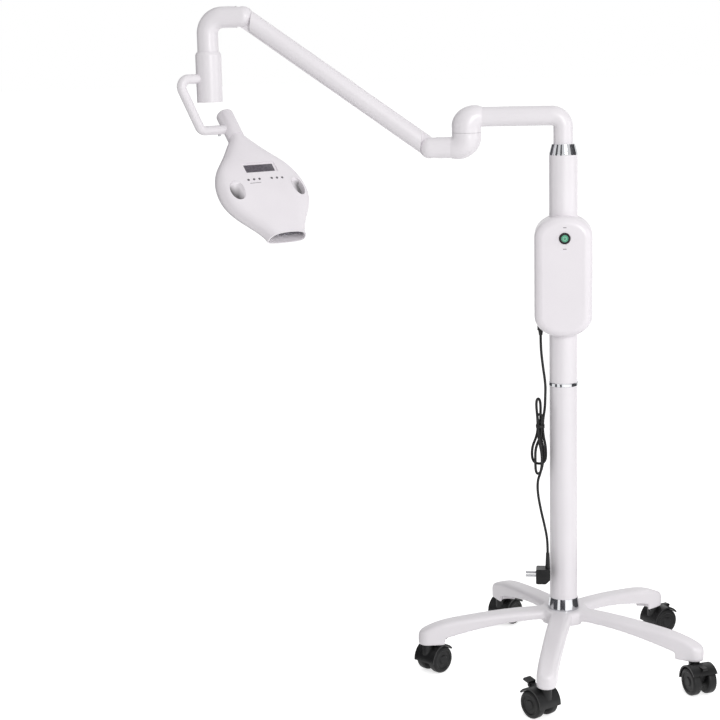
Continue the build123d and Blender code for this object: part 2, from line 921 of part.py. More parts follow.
def hinge_pin(centre):
    across = Plane(origin=centre, x_dir=(1, 0, 0), z_dir=(0, -1, 0))
    with BuildPart() as pin:
        with BuildSketch(across):
            Circle(hinge_pin_radius)
        extrude(amount=hinge_pin_half, both=True)
    return pin


with BuildPart() as lower_arm_tube:
    with BuildLine():
        FilletPolyline((0, 0, tube_foot), (0, 0, arm_level), (upper_corner.X, 0, arm_level), radius=arm_bend)
    with BuildSketch(Plane.XY.offset(tube_foot)):
        Circle(arm_tube_radius)
        Circle(tube_bore, mode=Mode.SUBTRACT)
    sweep()
save(lower_arm_tube, "lower_arm_tube")

growth = [knuckle_neck + (knuckle_radius - knuckle_neck) * share for share in knuckle_growth_shares]
shrink = [ball_radius + (knuckle_radius - ball_radius) * share for share in reversed(knuckle_growth_shares)]
swivel_at = (-swivel_reach, 0)

with BuildPart() as upper_knuckle:
    add(fan(upper_corner, 90, 90, growth).part)
    with BuildSketch(Plane.XY.offset(knuckle_seam + loose_gap)):
        with Locations(swivel_at):
            Circle(knuckle_radius)
    extrude(amount=upper_corner.Z - knuckle_seam - loose_gap)
    with BuildSketch(Plane(origin=(upper_corner.X, 0, arm_level), x_dir=(0, 1, 0), z_dir=(1, 0, 0))):
        Circle(tube_bore)
    extrude(amount=knuckle_spigot)
    with BuildSketch(Plane.XY.offset(pin_top)):
        with Locations(swivel_at):
            Circle(pin_radius)
    extrude(amount=knuckle_seam - pin_top, mode=Mode.SUBTRACT)
save(upper_knuckle, "upper_knuckle")

with BuildPart() as knuckle_pin:
    with BuildSketch(Plane.XY.offset(pin_foot)):
        with Locations(swivel_at):
            Circle(pin_head_radius)
    extrude(amount=pin_head_height)
    with BuildSketch(Plane.XY.offset(pin_foot)):
        with Locations(swivel_at):
            Circle(pin_radius)
    extrude(amount=pin_top - pin_foot)
save(knuckle_pin, "knuckle_pin")

with BuildPart() as lower_knuckle:
    add(fan(lower_corner, 0, -90, shrink).part)
    with BuildSketch(Plane.XY.offset(lower_corner.Z)):
        with Locations(swivel_at):
            Circle(knuckle_radius)
    extrude(amount=knuckle_seam - lower_corner.Z)
    with BuildSketch(Plane(origin=hinge_a, x_dir=(0, 1, 0), z_dir=(1, 0, 0))):
        Circle(ball_radius)
    extrude(amount=lower_corner.X - hinge_a.X)
    with Locations(hinge_a):
        Sphere(ball_radius)
    add(ball_and_slot(hinge_a).part, mode=Mode.SUBTRACT)
    with BuildSketch(Plane.XY.offset(pin_foot - seat_gap)):
        with Locations(swivel_at):
            Circle(pin_radius + running_fit)
    extrude(amount=knuckle_seam - pin_foot + seat_gap, mode=Mode.SUBTRACT)
    with BuildSketch(Plane.XY.offset(pin_foot - seat_gap)):
        with Locations(swivel_at):
            Circle(pin_head_radius + seat_gap)
    extrude(amount=pin_head_height + 2 * seat_gap, mode=Mode.SUBTRACT)
save(lower_knuckle, "lower_knuckle")
save(hinge_pin(hinge_a), "lower_hinge_pin")

# Spring arm: measured along its own line from the lower hinge, x across it upward
rise = radians(link_rise)
link_plane = Plane(origin=hinge_a, x_dir=(sin(rise), 0, cos(rise)), z_dir=(-cos(rise), 0, sin(rise)))
hinge_b = link_plane.from_local_coords(Vector(0, 0, link_length))
link_side = Plane(origin=hinge_a, x_dir=link_plane.x_dir, z_dir=(0, -1, 0))
link_bore = link_radius - link_wall


def along_link(across, along):
    """A point of the link's side view: across the link and along it."""
    return link_side.to_local_coords(link_plane.from_local_coords(Vector(across, 0, along)))


with BuildPart() as link_outline:
    with BuildSketch(link_side):
        with BuildLine():
            Polyline(
                along_link(link_radius, link_far_start),
                along_link(link_radius, link_length - link_near_start),
                along_link(-link_radius, link_length - link_far_start),
                along_link(-link_radius, link_near_start),
                close=True,
            )
        make_face()
    extrude(amount=link_radius, both=True)
    with BuildSketch(link_plane):
        Circle(link_radius)
    extrude(amount=link_length, mode=Mode.INTERSECT)
    for centre in (hinge_a, hinge_b):
        with Locations(centre):
            Sphere(ball_radius + ball_gap, mode=Mode.SUBTRACT)

with BuildPart() as spring_arm:
    with BuildSketch(link_side):
        for end in (0, link_length):
            with Locations(along_link(0, end)):
                Circle(tongue_radius)
        with BuildLine():
            Polyline(
                along_link(link_radius, 0),
                along_link(link_radius, link_length),
                along_link(-link_radius, link_length),
                along_link(-link_radius, 0),
                close=True,
            )
        make_face()
    extrude(amount=tongue_half, both=True)
    add(link_outline.part)
    with BuildSketch(link_plane.offset(link_plug)):
        Circle(link_bore)
    extrude(amount=link_length - 2 * link_plug, mode=Mode.SUBTRACT)
    with BuildSketch(link_side):
        for end in (0, link_length):
            with Locations(along_link(0, end)):
                Circle(hinge_pin_radius + running_fit)
    extrude(amount=link_radius, both=True, mode=Mode.SUBTRACT)
    with BuildSketch(link_plane.offset(link_plug - rod_seat)):
        Circle(rod_radius)
    extrude(amount=rod_seat, mode=Mode.SUBTRACT)
save(spring_arm, "spring_arm")

washer_start = link_plug + rod_reach
with BuildPart() as tie_rod:
    with BuildSketch(link_plane.offset(link_plug - rod_seat)):
        Circle(rod_radius)
    extrude(amount=rod_seat + rod_reach + rod_washer_height + rod_nut_height + rod_tail)
    with BuildSketch(link_plane.offset(washer_start)):
        Circle(rod_washer_radius)
    extrude(amount=rod_washer_height)
    with BuildSketch(link_plane.offset(washer_start + rod_washer_height)):
        RegularPolygon(rod_nut_radius, 6)
    extrude(amount=rod_nut_height)
save(tie_rod, "tie_rod")

with BuildPart() as arm_spring:
    coil = link_plane.offset(link_plug)
    with BuildLine():
        Helix(
            pitch=rod_reach / coil_turns, height=rod_reach, radius=coil_radius,
            center=coil.origin, direction=coil.z_dir,
        )
    wire_start = arm_spring.pending_edges[0] @ 0
    wire_heading = arm_spring.pending_edges[0] % 0
    with BuildSketch(Plane(origin=wire_start, z_dir=wire_heading)):
        Circle(coil_wire)
    sweep()
    with BuildSketch(coil):
        Circle(link_bore)
    extrude(amount=rod_reach, mode=Mode.INTERSECT)
save(arm_spring, "arm_spring")

# End elbow: a ball at the upper hinge, a bend and a plugged tube that turns in the sleeve
sleeve_x = hinge_b.X - elbow_reach
elbow_end = sleeve_web_top + seat_gap
elbow_bore = ball_radius - elbow_wall
sleeve_plane = Plane(origin=(sleeve_x, 0, 0), x_dir=(1, 0, 0), z_dir=(0, -1, 0))
web_bottom = sleeve_web_top - sleeve_web
head_top = web_bottom - seat_gap
swivel_pin_top = elbow_end + elbow_plug


def elbow_run(start, foot, radius, bend):
    """The elbow's path from its start beside the hinge to its foot, as one round bar."""
    first = Vector(hinge_b.X - start, 0, hinge_b.Z)
    with BuildPart() as run:
        with BuildLine():
            FilletPolyline(first, (sleeve_x, 0, hinge_b.Z), (sleeve_x, 0, foot), radius=bend)
        with BuildSketch(Plane(origin=first, x_dir=(0, 1, 0), z_dir=(-1, 0, 0))):
            Circle(radius)
        sweep()
    return run


with BuildPart() as end_elbow:
    add(elbow_run(0, elbow_end, ball_radius, elbow_bend).part)
    with Locations(hinge_b):
        Sphere(ball_radius)
    add(ball_and_slot(hinge_b).part, mode=Mode.SUBTRACT)
    add(elbow_run(elbow_start, swivel_pin_top, elbow_bore, elbow_bend).part, mode=Mode.SUBTRACT)
    with BuildSketch(Plane.XY.offset(elbow_end)):
        with Locations((sleeve_x, 0)):
            Circle(swivel_pin_radius)
    extrude(amount=elbow_plug, mode=Mode.SUBTRACT)
save(end_elbow, "end_elbow")
save(hinge_pin(hinge_b), "upper_hinge_pin")

swivel_pin = turned(
    (
        (0, head_top - swivel_head_height),
        (swivel_head_radius, head_top - swivel_head_height),
        (swivel_head_radius, head_top),
        (swivel_pin_radius, head_top),
        (swivel_pin_radius, swivel_pin_top),
        (0, swivel_pin_top),
    ),
    sleeve_plane,
)
save(swivel_pin, "swivel_pin")

# Yoke path, in the upright plane through the sleeve's axis
yoke_along = Vector(cos(radians(yoke_angle)), sin(radians(yoke_angle)), 0)


def yoke_point(along, height):
    return Vector(sleeve_x, 0, height) + yoke_along * along


sleeve_inside = sleeve_radius - sleeve_wall
sleeve_bearing = ball_radius + running_fit
with BuildPart() as swivel_sleeve:
    add(
        turned(
            (
                (swivel_pin_radius + running_fit, web_bottom),
                (sleeve_inside, web_bottom),
                (sleeve_inside, sleeve_bottom + sleeve_lip),
                (sleeve_inside + sleeve_lip, sleeve_bottom),
                (sleeve_radius, sleeve_bottom),
                (sleeve_radius, sleeve_top - sleeve_shoulder),
                (sleeve_radius - sleeve_shoulder_in, sleeve_top),
                (sleeve_bearing, sleeve_top),
                (sleeve_bearing, sleeve_web_top),
                (swivel_pin_radius + running_fit, sleeve_web_top),
            ),
            sleeve_plane,
        ).part
    )
    with BuildSketch(Plane(origin=yoke_point(0, yoke_top), x_dir=(0, 0, 1), z_dir=-yoke_along)):
        Circle(yoke_radius)
    extrude(amount=sleeve_radius, mode=Mode.SUBTRACT)
save(swivel_sleeve, "swivel_sleeve")

yoke_stops = (
    yoke_point(yoke_start, yoke_top),
    yoke_point(-yoke_out, yoke_top),
    yoke_point(-yoke_in, yoke_foot),
    yoke_point(yoke_end, yoke_foot),
)
with BuildPart() as yoke:
    with BuildLine():
        FilletPolyline(*yoke_stops, radius=yoke_bend)
    with BuildSketch(Plane(origin=yoke_stops[0], x_dir=(0, 0, 1), z_dir=-yoke_along)):
        Circle(yoke_radius)
        Circle(yoke_radius - yoke_wall, mode=Mode.SUBTRACT)
    sweep()
    with BuildSketch(Plane(origin=yoke_stops[-1], x_dir=(0, 0, 1), z_dir=-yoke_along)):
        Circle(yoke_flange_radius)
        Circle(yoke_radius - yoke_wall, mode=Mode.SUBTRACT)
    extrude(amount=yoke_flange_length)
save(yoke, "yoke")


# Lamp head: u runs across the face, v from the neck to the mouth, n out of the face
gamma = radians(yoke_angle)
drop = radians(head_drop)
head_u = yoke_along
head_v = Vector(sin(gamma) * cos(drop), -cos(gamma) * cos(drop), -sin(drop))
head_n = head_v.cross(head_u)
head_origin = yoke_point(head_offset, yoke_foot)


def across_section(v):
    """The plane across the head at this distance from the tilt axis: x is u and y is n."""
    return Plane(origin=head_origin + head_v * v, x_dir=head_u, z_dir=head_v)


def over_face(n):
    """The plane along the face at this height: x is u and y is the way back to the neck."""
    return Plane(origin=head_origin + head_n * n, x_dir=head_u, z_dir=head_n)


def half_section(v, half_width, height, power, hand):
    """Half a section of the head: flat at the parting plane, with a rounded crown."""
    crown = []
    for step in range(crown_steps + 1):
        angle = radians(180 - 180 * step / crown_steps)
        across = abs(cos(angle)) ** (2 / power)
        crown.append((half_width * (across if angle < pi / 2 else -across), hand * height * sin(angle) ** (2 / power)))
    with BuildSketch(across_section(v)) as section:
        with BuildLine():
            Spline(*crown, tangents=((0, hand), (0, -hand)), tangent_scalars=(1, 1))
            Line(crown[-1], crown[0])
        make_face()
    return section


def head_half(inset, hand, heights, extra):
    """Half of the head's body lofted through its sections, thinner all round by the inset."""
    with BuildPart() as half:
        for v, half_width, height in zip(head_stations, head_half_widths, heights):
            blend = min(1, (v - head_stations[0]) / (crown_full_at - head_stations[0]))
            power = crown_neck_power + (crown_power - crown_neck_power) * blend
            place = v + extra if v == head_mouth else v
            add(half_section(place, half_width - inset, height - inset, power, hand).sketch)
        loft()
    return half


def neck_half(hand):
    """Half of the round neck that the yoke passes into."""
    with BuildPart() as neck:
        with BuildSketch(across_section(-neck_top)):
            Circle(neck_radius)
            with Locations((0, hand * neck_radius / 2)):
                Rectangle(2 * neck_radius, neck_radius, mode=Mode.INTERSECT)
        extrude(amount=neck_top + head_stations[0])
        rim = neck.edges().filter_by(GeomType.CIRCLE).sort_by(Axis(head_origin, head_v))[0]
        fillet(rim, radius=neck_round)
    return neck


def yoke_bore():
    """The running bore through the neck's cheek and the groove for the yoke's flange."""
    start = -neck_radius - overrun
    groove = yoke_end - yoke_flange_length - head_offset - seat_gap
    with BuildPart() as bore:
        with BuildSketch(Plane(origin=head_origin + head_u * start, x_dir=head_v, z_dir=head_u)):
            Circle(yoke_radius + running_fit)
        extrude(amount=groove - start)
        with BuildSketch(Plane(origin=head_origin + head_u * groove, x_dir=head_v, z_dir=head_u)):
            Circle(yoke_flange_radius + seat_gap)
        extrude(amount=yoke_flange_length + 2 * seat_gap)
    return bore


def posts(places, radius, bottom, top):
    """Round posts along n at these places of the face."""
    with BuildPart() as group:
        with BuildSketch(over_face(bottom)):
            with Locations(*[(u, -v) for u, v in places]):
                Circle(radius)
        extrude(amount=top - bottom)
    return group


def face_block(level, half_width, half_height, rounding, bottom, top):
    """A block along n, round at its corners, centred on the face at this distance."""
    with BuildPart() as block:
        with BuildSketch(over_face(bottom)):
            with Locations((0, -level)):
                RectangleRounded(2 * half_width, 2 * half_height, rounding)
        extrude(amount=top - bottom)
    return block


def grip_cup(hand, wall):
    """One finger recess, widening outward; with a wall it is the cup round the recess."""
    spread = grip_rise * tan(radians(grip_taper))
    with BuildPart() as cup:
        with BuildSketch(over_face(grip_floor - wall)):
            with Locations((hand * grip_across, -grip_level)):
                Ellipse(grip_half_width + wall, grip_half_length + wall)
        with BuildSketch(over_face(grip_floor + grip_rise)):
            with Locations((hand * grip_across, -grip_level)):
                Ellipse(grip_half_width + wall + spread, grip_half_length + wall + spread)
        loft()
    return cup


def mouth_slab(v, thickness, inset, hands):
    """A slice of the head's own shape, thinner all round by the inset."""
    with BuildPart() as body:
        for hand in hands:
            heights = head_front_heights if hand > 0 else head_back_heights
            add(head_half(inset, hand, heights, 0).part)
    with BuildPart() as plate:
        with BuildSketch(across_section(v)):
            Rectangle(2 * head_mouth, 2 * head_mouth)
        extrude(amount=thickness)
        add(body.part, mode=Mode.INTERSECT)
    return plate


def lens_stop(hand):
    """The rim inside one shell that the outlet lens is set against."""
    with BuildPart() as rim:
        foot = lens_level - lens_rim_thickness
        add(mouth_slab(foot, lens_rim_thickness, head_wall / 2, (hand,)).part)
        add(mouth_slab(foot, lens_rim_thickness, head_wall + lens_rim, (hand,)).part, mode=Mode.SUBTRACT)
    return rim


front_top = max(head_front_heights) + overrun
back_floor = -max(head_back_heights) - overrun
lens_plate = mouth_slab(lens_level, lens_thickness, head_wall + loose_gap, (1, -1))

with BuildPart() as front_solid:
    add(head_half(0, 1, head_front_heights, 0).part)
    add(neck_half(1).part)

with BuildPart() as head_front_shell:
    add(face_block(display_level, frame_half_width + pad_margin, frame_half_height + pad_margin, frame_round,
                   pad_floor, front_top).part)
    add(face_block(key_level, key_pad_half_width, key_pad_half_height, frame_round, pad_floor, front_top).part)
    add(posts(control_post_places, control_post_radius, control_board_face, front_top).part)
    add(posts(shell_screw_places, shell_boss_radius, 0, front_top).part)
    for hand in (-1, 1):
        add(grip_cup(hand, grip_cup_wall).part)
    add(front_solid.part, mode=Mode.INTERSECT)
    with BuildPart(mode=Mode.PRIVATE) as front_wall:
        add(front_solid.part)
        add(head_half(head_wall, 1, head_front_heights, overrun).part, mode=Mode.SUBTRACT)
    add(front_wall.part)
    add(lens_stop(1).part)
    for hand in (-1, 1):
        add(grip_cup(hand, 0).part, mode=Mode.SUBTRACT)
    add(face_block(display_level, frame_half_width, frame_half_height, frame_round, frame_floor, front_top).part,
        mode=Mode.SUBTRACT)
    window_floor = frame_floor - display_sink - display_thickness
    add(face_block(display_level, display_half_width, display_half_height, display_ledge, window_floor,
                   front_top).part, mode=Mode.SUBTRACT)
    add(face_block(display_level, display_half_width - display_ledge, display_half_height - display_ledge,
                   display_ledge, 0, front_top).part, mode=Mode.SUBTRACT)
    for offset in key_offsets:
        add(posts(((offset, key_level),), key_radius + running_fit, control_board_face, front_top).part,
            mode=Mode.SUBTRACT)
    add(posts(shell_screw_places, shell_screw_radius, -overrun, shell_screw_tip).part, mode=Mode.SUBTRACT)
    add(yoke_bore().part, mode=Mode.SUBTRACT)
save(head_front_shell, "head_front_shell")

with BuildPart() as back_solid:
    add(head_half(0, -1, head_back_heights, 0).part)
    add(neck_half(-1).part)

with BuildPart() as head_back_shell:
    add(posts(shell_screw_places, shell_boss_radius, back_floor, 0).part)
    add(posts(sink_post_places, sink_post_radius, back_floor, lamp_board_low).part)
    add(back_solid.part, mode=Mode.INTERSECT)
    with BuildPart(mode=Mode.PRIVATE) as back_wall:
        add(back_solid.part)
        add(head_half(head_wall, -1, head_back_heights, overrun).part, mode=Mode.SUBTRACT)
    add(back_wall.part)
    add(lens_stop(-1).part)
    add(posts(shell_screw_places, shell_screw_radius + loose_gap, -shell_screw_seat, 0).part, mode=Mode.SUBTRACT)
    add(posts(shell_screw_places, shell_screw_head_radius + seat_gap, back_floor, -shell_screw_seat).part,
        mode=Mode.SUBTRACT)
    add(yoke_bore().part, mode=Mode.SUBTRACT)
save(head_back_shell, "head_back_shell")

with BuildPart() as head_screws:
    add(posts(shell_screw_places, shell_screw_radius, -shell_screw_seat, shell_screw_tip).part)
    add(posts(shell_screw_places, shell_screw_head_radius, -shell_screw_seat - shell_screw_head_height,
              -shell_screw_seat).part)
save(head_screws, "head_screws")

display_window = face_block(
    display_level, display_half_width, display_half_height, display_ledge, window_floor, frame_floor - display_sink
)
save(display_window, "display_window")

# Keys: each has a flange under the face and a switch on the control board below
flange_roof = pad_floor - seat_gap
flange_base = flange_roof - key_flange
for number, (offset, height) in enumerate(zip(key_offsets, key_heights)):
    with BuildPart() as key:
        add(posts(((offset, key_level),), key_radius, flange_base, height + key_stand).part)
        fillet(key.edges().filter_by(GeomType.CIRCLE).sort_by(Axis(head_origin, head_n))[-1], radius=key_stand / 2)
        add(posts(((offset, key_level),), key_flange_radius, flange_base, flange_roof).part)
    save(key, f"key_{number + 1}")

board_mid = (control_board_top + control_board_bottom) / 2
board_half = (control_board_bottom - control_board_top) / 2
with BuildPart() as control_board:
    add(face_block(board_mid, control_board_half_width, board_half, display_ledge,
                   control_board_face - control_board_thickness, control_board_face).part)
    for offset in key_offsets:
        add(posts(((offset, key_level),), switch_radius, control_board_face,
                  flange_base - key_travel - seat_gap).part)
    add(face_block(display_level, display_half_width - 2 * display_ledge, display_half_height - 2 * display_ledge,
                   display_ledge, control_board_face, pad_floor - seat_gap).part)
save(control_board, "control_board")

# Light source: a heat sink on posts, the lamp board on its front and the lens in the mouth
sink_start = lamp_board_level - sink_length


def cross_slab(v, thickness, half_width, low, high):
    """A flat plate across the head."""
    with BuildPart() as slab:
        with BuildSketch(across_section(v)):
            with Locations((0, (low + high) / 2)):
                Rectangle(2 * half_width, high - low)
        extrude(amount=thickness)
    return slab


with BuildPart() as heat_sink:
    add(cross_slab(lamp_board_level - sink_plate, sink_plate, sink_half_width, lamp_board_low, lamp_board_high).part)
    add(cross_slab(sink_start, sink_length, sink_half_width, lamp_board_low, lamp_board_low + sink_plate).part)
    fin_step = (2 * sink_half_width - sink_fin_thickness) / (sink_fins - 1)
    with BuildSketch(across_section(sink_start)):
        with Locations((0, (lamp_board_low + lamp_board_high) / 2)):
            with GridLocations(fin_step, 0, sink_fins, 1):
                Rectangle(sink_fin_thickness, lamp_board_high - lamp_board_low)
    extrude(amount=sink_length)
save(heat_sink, "heat_sink")

with BuildPart() as led_board:
    add(cross_slab(lamp_board_level, lamp_board_thickness, lamp_board_half_width, lamp_board_low,
                   lamp_board_high).part)
    domes_at = across_section(lamp_board_level + lamp_board_thickness)
    with BuildSketch(domes_at):
        with Locations((0, (lamp_board_low + lamp_board_high) / 2)):
            with GridLocations(lamp_column_step, lamp_row_step, lamp_columns, lamp_rows):
                Circle(lamp_radius)
    extrude(amount=lamp_stand)
    fillet(led_board.faces().sort_by(Axis(head_origin, head_v))[-lamp_columns * lamp_rows:].edges(),
           radius=lamp_stand / 2)
save(led_board, "led_board")
save(lens_plate, "outlet_lens")


# Mains lead: hand-laid stretches and a hank of gathered turns
def hank_point(share, spread, height):
    """A place on the hank: its turn round the hank's own axis, how far out, and its height."""
    angle = 2 * pi * share
    return Vector(hank_across + spread * cos(angle), hank_depth + spread * sin(angle), height)


def lead_along(points, radius):
    """A round lead along straight runs joined by tangent arcs; prints its length and its radii."""
    corners = [Vector(*point) for point in points]
    radii = []
    for before, corner, after in zip(corners, corners[1:], corners[2:]):
        half_turn = radians((corner - before).get_angle(after - corner) / 2)
        radii.append(arc_share * min((corner - before).length, (after - corner).length) / tan(half_turn))
    with BuildPart() as lead:
        with BuildLine() as route:
            FilletPolyline(*corners, radius=radii)
        with BuildSketch(Plane(origin=corners[0], z_dir=corners[1] - corners[0])):
            Circle(radius)
        sweep()
    length = route.wires()[0].length
    print("lead length", round(length, 1), "volume share", round(lead.part.volume / (pi * radius**2 * length), 4))
    print("radii", [round(bend, 1) for bend in radii])
    return lead, route.wires()[0]


def least_gap(wire, diameter, samples):
    """The least space between the lead and itself, measured on points along its middle."""
    places = [wire @ (step / samples) for step in range(samples + 1)]
    spacing = wire.length / samples
    apart = int(3 * diameter / spacing)
    pairs = [
        dist(tuple(first), tuple(second))
        for index, first in enumerate(places)
        for second in places[index + apart:]
    ]
    return min(pairs) - diameter


lead_in = Vector(*hank_lead_in).normalized()
entry = hank_point(hank_turn_shares[0], hank_top_spread, hank_tops[0])
hank_start = entry + lead_in * hank_lead_length
hank_route = [hank_start, entry]
last_run = len(hank_turn_shares) - 1
for run, share in enumerate(hank_turn_shares):
    spread = hank_exit_spread if run == last_run else hank_bottom_spread
    stretch = [
        hank_point(share, hank_top_spread, hank_tops[run]),
        hank_point(share, hank_waist_spread, hank_waist_top),
        hank_point(share, hank_waist_spread, hank_waist_foot),
        hank_point(share, spread, hank_bottoms[run]),
    ]
    if run == 0:
        stretch = stretch[1:]
    hank_route += stretch if run % 2 == 0 else stretch[::-1]
exit_heading = (hank_route[-1] - hank_route[-2]).normalized()

cord_hank, hank_wire = lead_along(hank_route, lead_radius)
print("hank gap to itself", round(least_gap(hank_wire, 2 * lead_radius, hank_samples), 2))
save(cord_hank, "cord_hank")
upper_points = [*upper_route, hank_start + lead_in * upper_last_run, hank_start]
cord_upper, upper_wire = lead_along(upper_points, lead_radius)
save(cord_upper, "cord_upper")
lower_points = [hank_route[-1], hank_route[-1] + exit_heading * lower_first_run, *lower_route]
cord_lower, lower_wire = lead_along(lower_points, lead_radius)
save(cord_lower, "cord_lower")

# Plug with its strain relief and two contacts
plug_top = plug_foot + plug_height
relief_across, relief_depth, relief_top = lower_route[-1]
plug_left = plug_right - plug_width
contact_places = [(plug_centre + hand * contact_step / 2, contact_level) for hand in (-1, 1)]
contact_plane = Plane(origin=(plug_left + contact_seat, 0, 0), x_dir=(0, -1, 0), z_dir=(-1, 0, 0))


def contacts():
    """The two round contacts, from their slimmer roots in the plug to their tips."""
    with BuildPart() as pair:
        for radius, start, amount in (
            (contact_root_radius, 0, contact_seat + overrun),
            (contact_radius, contact_seat + contact_neck, contact_length - contact_neck),
        ):
            with BuildSketch(contact_plane.offset(start)):
                with Locations(*[(-y, z) for y, z in contact_places]):
                    Circle(radius)
            extrude(amount=amount)
    return pair


with BuildPart() as plug:
    with BuildSketch(Plane.XZ.offset(-plug_centre - plug_depth / 2)) as outline:
        with Locations((plug_left + plug_width / 2, plug_foot + plug_height / 2)):
            Rectangle(plug_width, plug_height)
        low_right = outline.vertices().group_by(Axis.Y)[0].sort_by(Axis.X)[-1]
        chamfer(low_right, length=plug_corner)
    extrude(amount=plug_depth)
    fillet(plug.edges().filter_by(Axis.Y), radius=plug_round)
    with BuildSketch(Plane.XY.offset(plug_top - overrun)):
        with Locations((relief_across, relief_depth)):
            Circle(relief_root_radius)
    with BuildSketch(Plane.XY.offset(relief_top)):
        with Locations((relief_across, relief_depth)):
            Circle(relief_end_radius)
    loft()
    add(contacts().part, mode=Mode.SUBTRACT)
save(plug, "plug")

with BuildPart() as plug_pins:
    add(contacts().part)
    fillet(plug_pins.faces().sort_by(Axis.X)[:2].edges(), radius=contact_radius / 2)
save(plug_pins, "plug_pins")
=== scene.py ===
"""Teeth whitening lamp on a five-leg stand.

Finishes, mains lead, small trim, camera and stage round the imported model.
"""

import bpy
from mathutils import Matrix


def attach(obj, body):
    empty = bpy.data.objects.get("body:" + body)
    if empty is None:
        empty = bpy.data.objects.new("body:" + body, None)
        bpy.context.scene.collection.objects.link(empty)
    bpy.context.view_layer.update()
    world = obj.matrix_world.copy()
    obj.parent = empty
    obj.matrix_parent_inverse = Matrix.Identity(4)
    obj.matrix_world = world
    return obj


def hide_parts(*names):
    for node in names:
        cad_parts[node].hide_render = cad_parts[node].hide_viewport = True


bl_info = {
    "name": "Teeth whitening lamp",
    "version": (1, 0, 0),
    "blender": (4, 5, 0),
    "location": "View3D > Sidebar > Lamp",
    "description": "Dresses the packed whitening lamp and sets up its camera and stage",
    "category": "Object",
}

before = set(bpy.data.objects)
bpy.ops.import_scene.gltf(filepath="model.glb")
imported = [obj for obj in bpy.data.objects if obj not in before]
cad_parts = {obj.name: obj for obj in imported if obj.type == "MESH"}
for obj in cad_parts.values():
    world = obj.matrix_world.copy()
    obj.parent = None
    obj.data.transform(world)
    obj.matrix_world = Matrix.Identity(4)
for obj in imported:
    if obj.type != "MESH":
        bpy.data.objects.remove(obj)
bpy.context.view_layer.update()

import functools
import math

import bmesh
import bpy
from mathutils import Matrix, Vector
from mathutils.bvhtree import BVHTree

TAB = "Lamp"
CASTERS = 5

# Head frame, in metres: across the face, down the face towards the mouth, out of the face
HEAD_ORIGIN = Vector((-0.601031, 0.026997, 1.008))
HEAD_ACROSS = Vector((0.76604, 0.64279, 0.0))
HEAD_DOWN = Vector((0.451335, -0.537881, -0.712026))
HEAD_OUT = Vector((0.457682, -0.545443, 0.702154))

# Where a ray towards the head's front starts, in metres over its parting plane
FACE_REACH = 0.06

# Finger grips in the head's front, in metres
GRIP_ACROSS = 0.062
GRIP_DOWN = 0.159
GRIP_HALF_WIDTH = 0.0108
GRIP_HALF_LENGTH = 0.0186
GRIP_FLOOR = 0.007
GRIP_FLARE = math.tan(math.radians(9.0))
GRIP_MARGIN = 0.0030
GRIP_SKIN = 0.0002
GRIP_RINGS = 24
GRIP_SPOKES = 72

# Scoop of a grip, in shares of its half width and half length: where its slope and its filled upper end
# start, how far each of them runs, how the slope curls, how far down the face is felt for, and the
# least chord across the scoop
SLOPE_START = 0.10
SLOPE_RUN = 1.05
SLOPE_CURL = 1.3
UPPER_START = -0.38
UPPER_RUN = 0.34
FEELER_SHARE = 1.08
CHORD_LEAST = 0.1

# Heights over the parting plane up to which a grip's painted shade is darkest, and from which it has the
# face's colour
GRIP_FULL_SHADE = 0.0120
GRIP_CLEAR = 0.0200

# Keys on the head's front, in metres
KEY_PLACES = (-0.0345, -0.0235, -0.0125, 0.0125, 0.0235, 0.0345)
KEY_LINE_DOWN = 0.1495
KEY_LINE_WIDTH = 0.0010
KEY_LINE_STEPS = 12

# Dots under the display window, in metres from dot to dot, and the share of each that is gap
DOT_PITCH = 0.0009
DOT_GAP = 0.22

# Switch and its printed marks, in metres
SWITCH_CENTRE = Vector((0.0025, -0.0498, 0.811))
BOX_FACE = -0.046
SWITCH_MARK_RISE = 0.0190
SWITCH_MARK_LENGTH = 0.0060
SWITCH_MARK_HEIGHT = 0.0014
CAP_RING = (0.0026, 0.0036)
CAP_DOT = 0.0008
PRINT_EDGE = 0.00004
RING_SIDES = 48
SMALL_SIDES = 32

# Tie round the folded lead, in metres
TIE_CENTRE = (-0.0419, -0.0213)
TIE_HALF = (0.0072, 0.0076)
TIE_THICKNESS = 0.0009
TIE_WIDTH = 0.0060
TIE_SIDES = 48

# Set screw under the yoke, in metres: along the head's tilt axis from the swivel sleeve's, and its sizes
SLEEVE_AXIS = Vector((-0.633205, 0.0, 0.0))
SET_SCREW_ALONG = 0.0165
SET_SCREW_FOOT = 0.9966
SET_SCREW_TOP = 0.9998
SET_SCREW_RADIUS = 0.0024
SET_SCREW_SOFTNESS = 0.0006

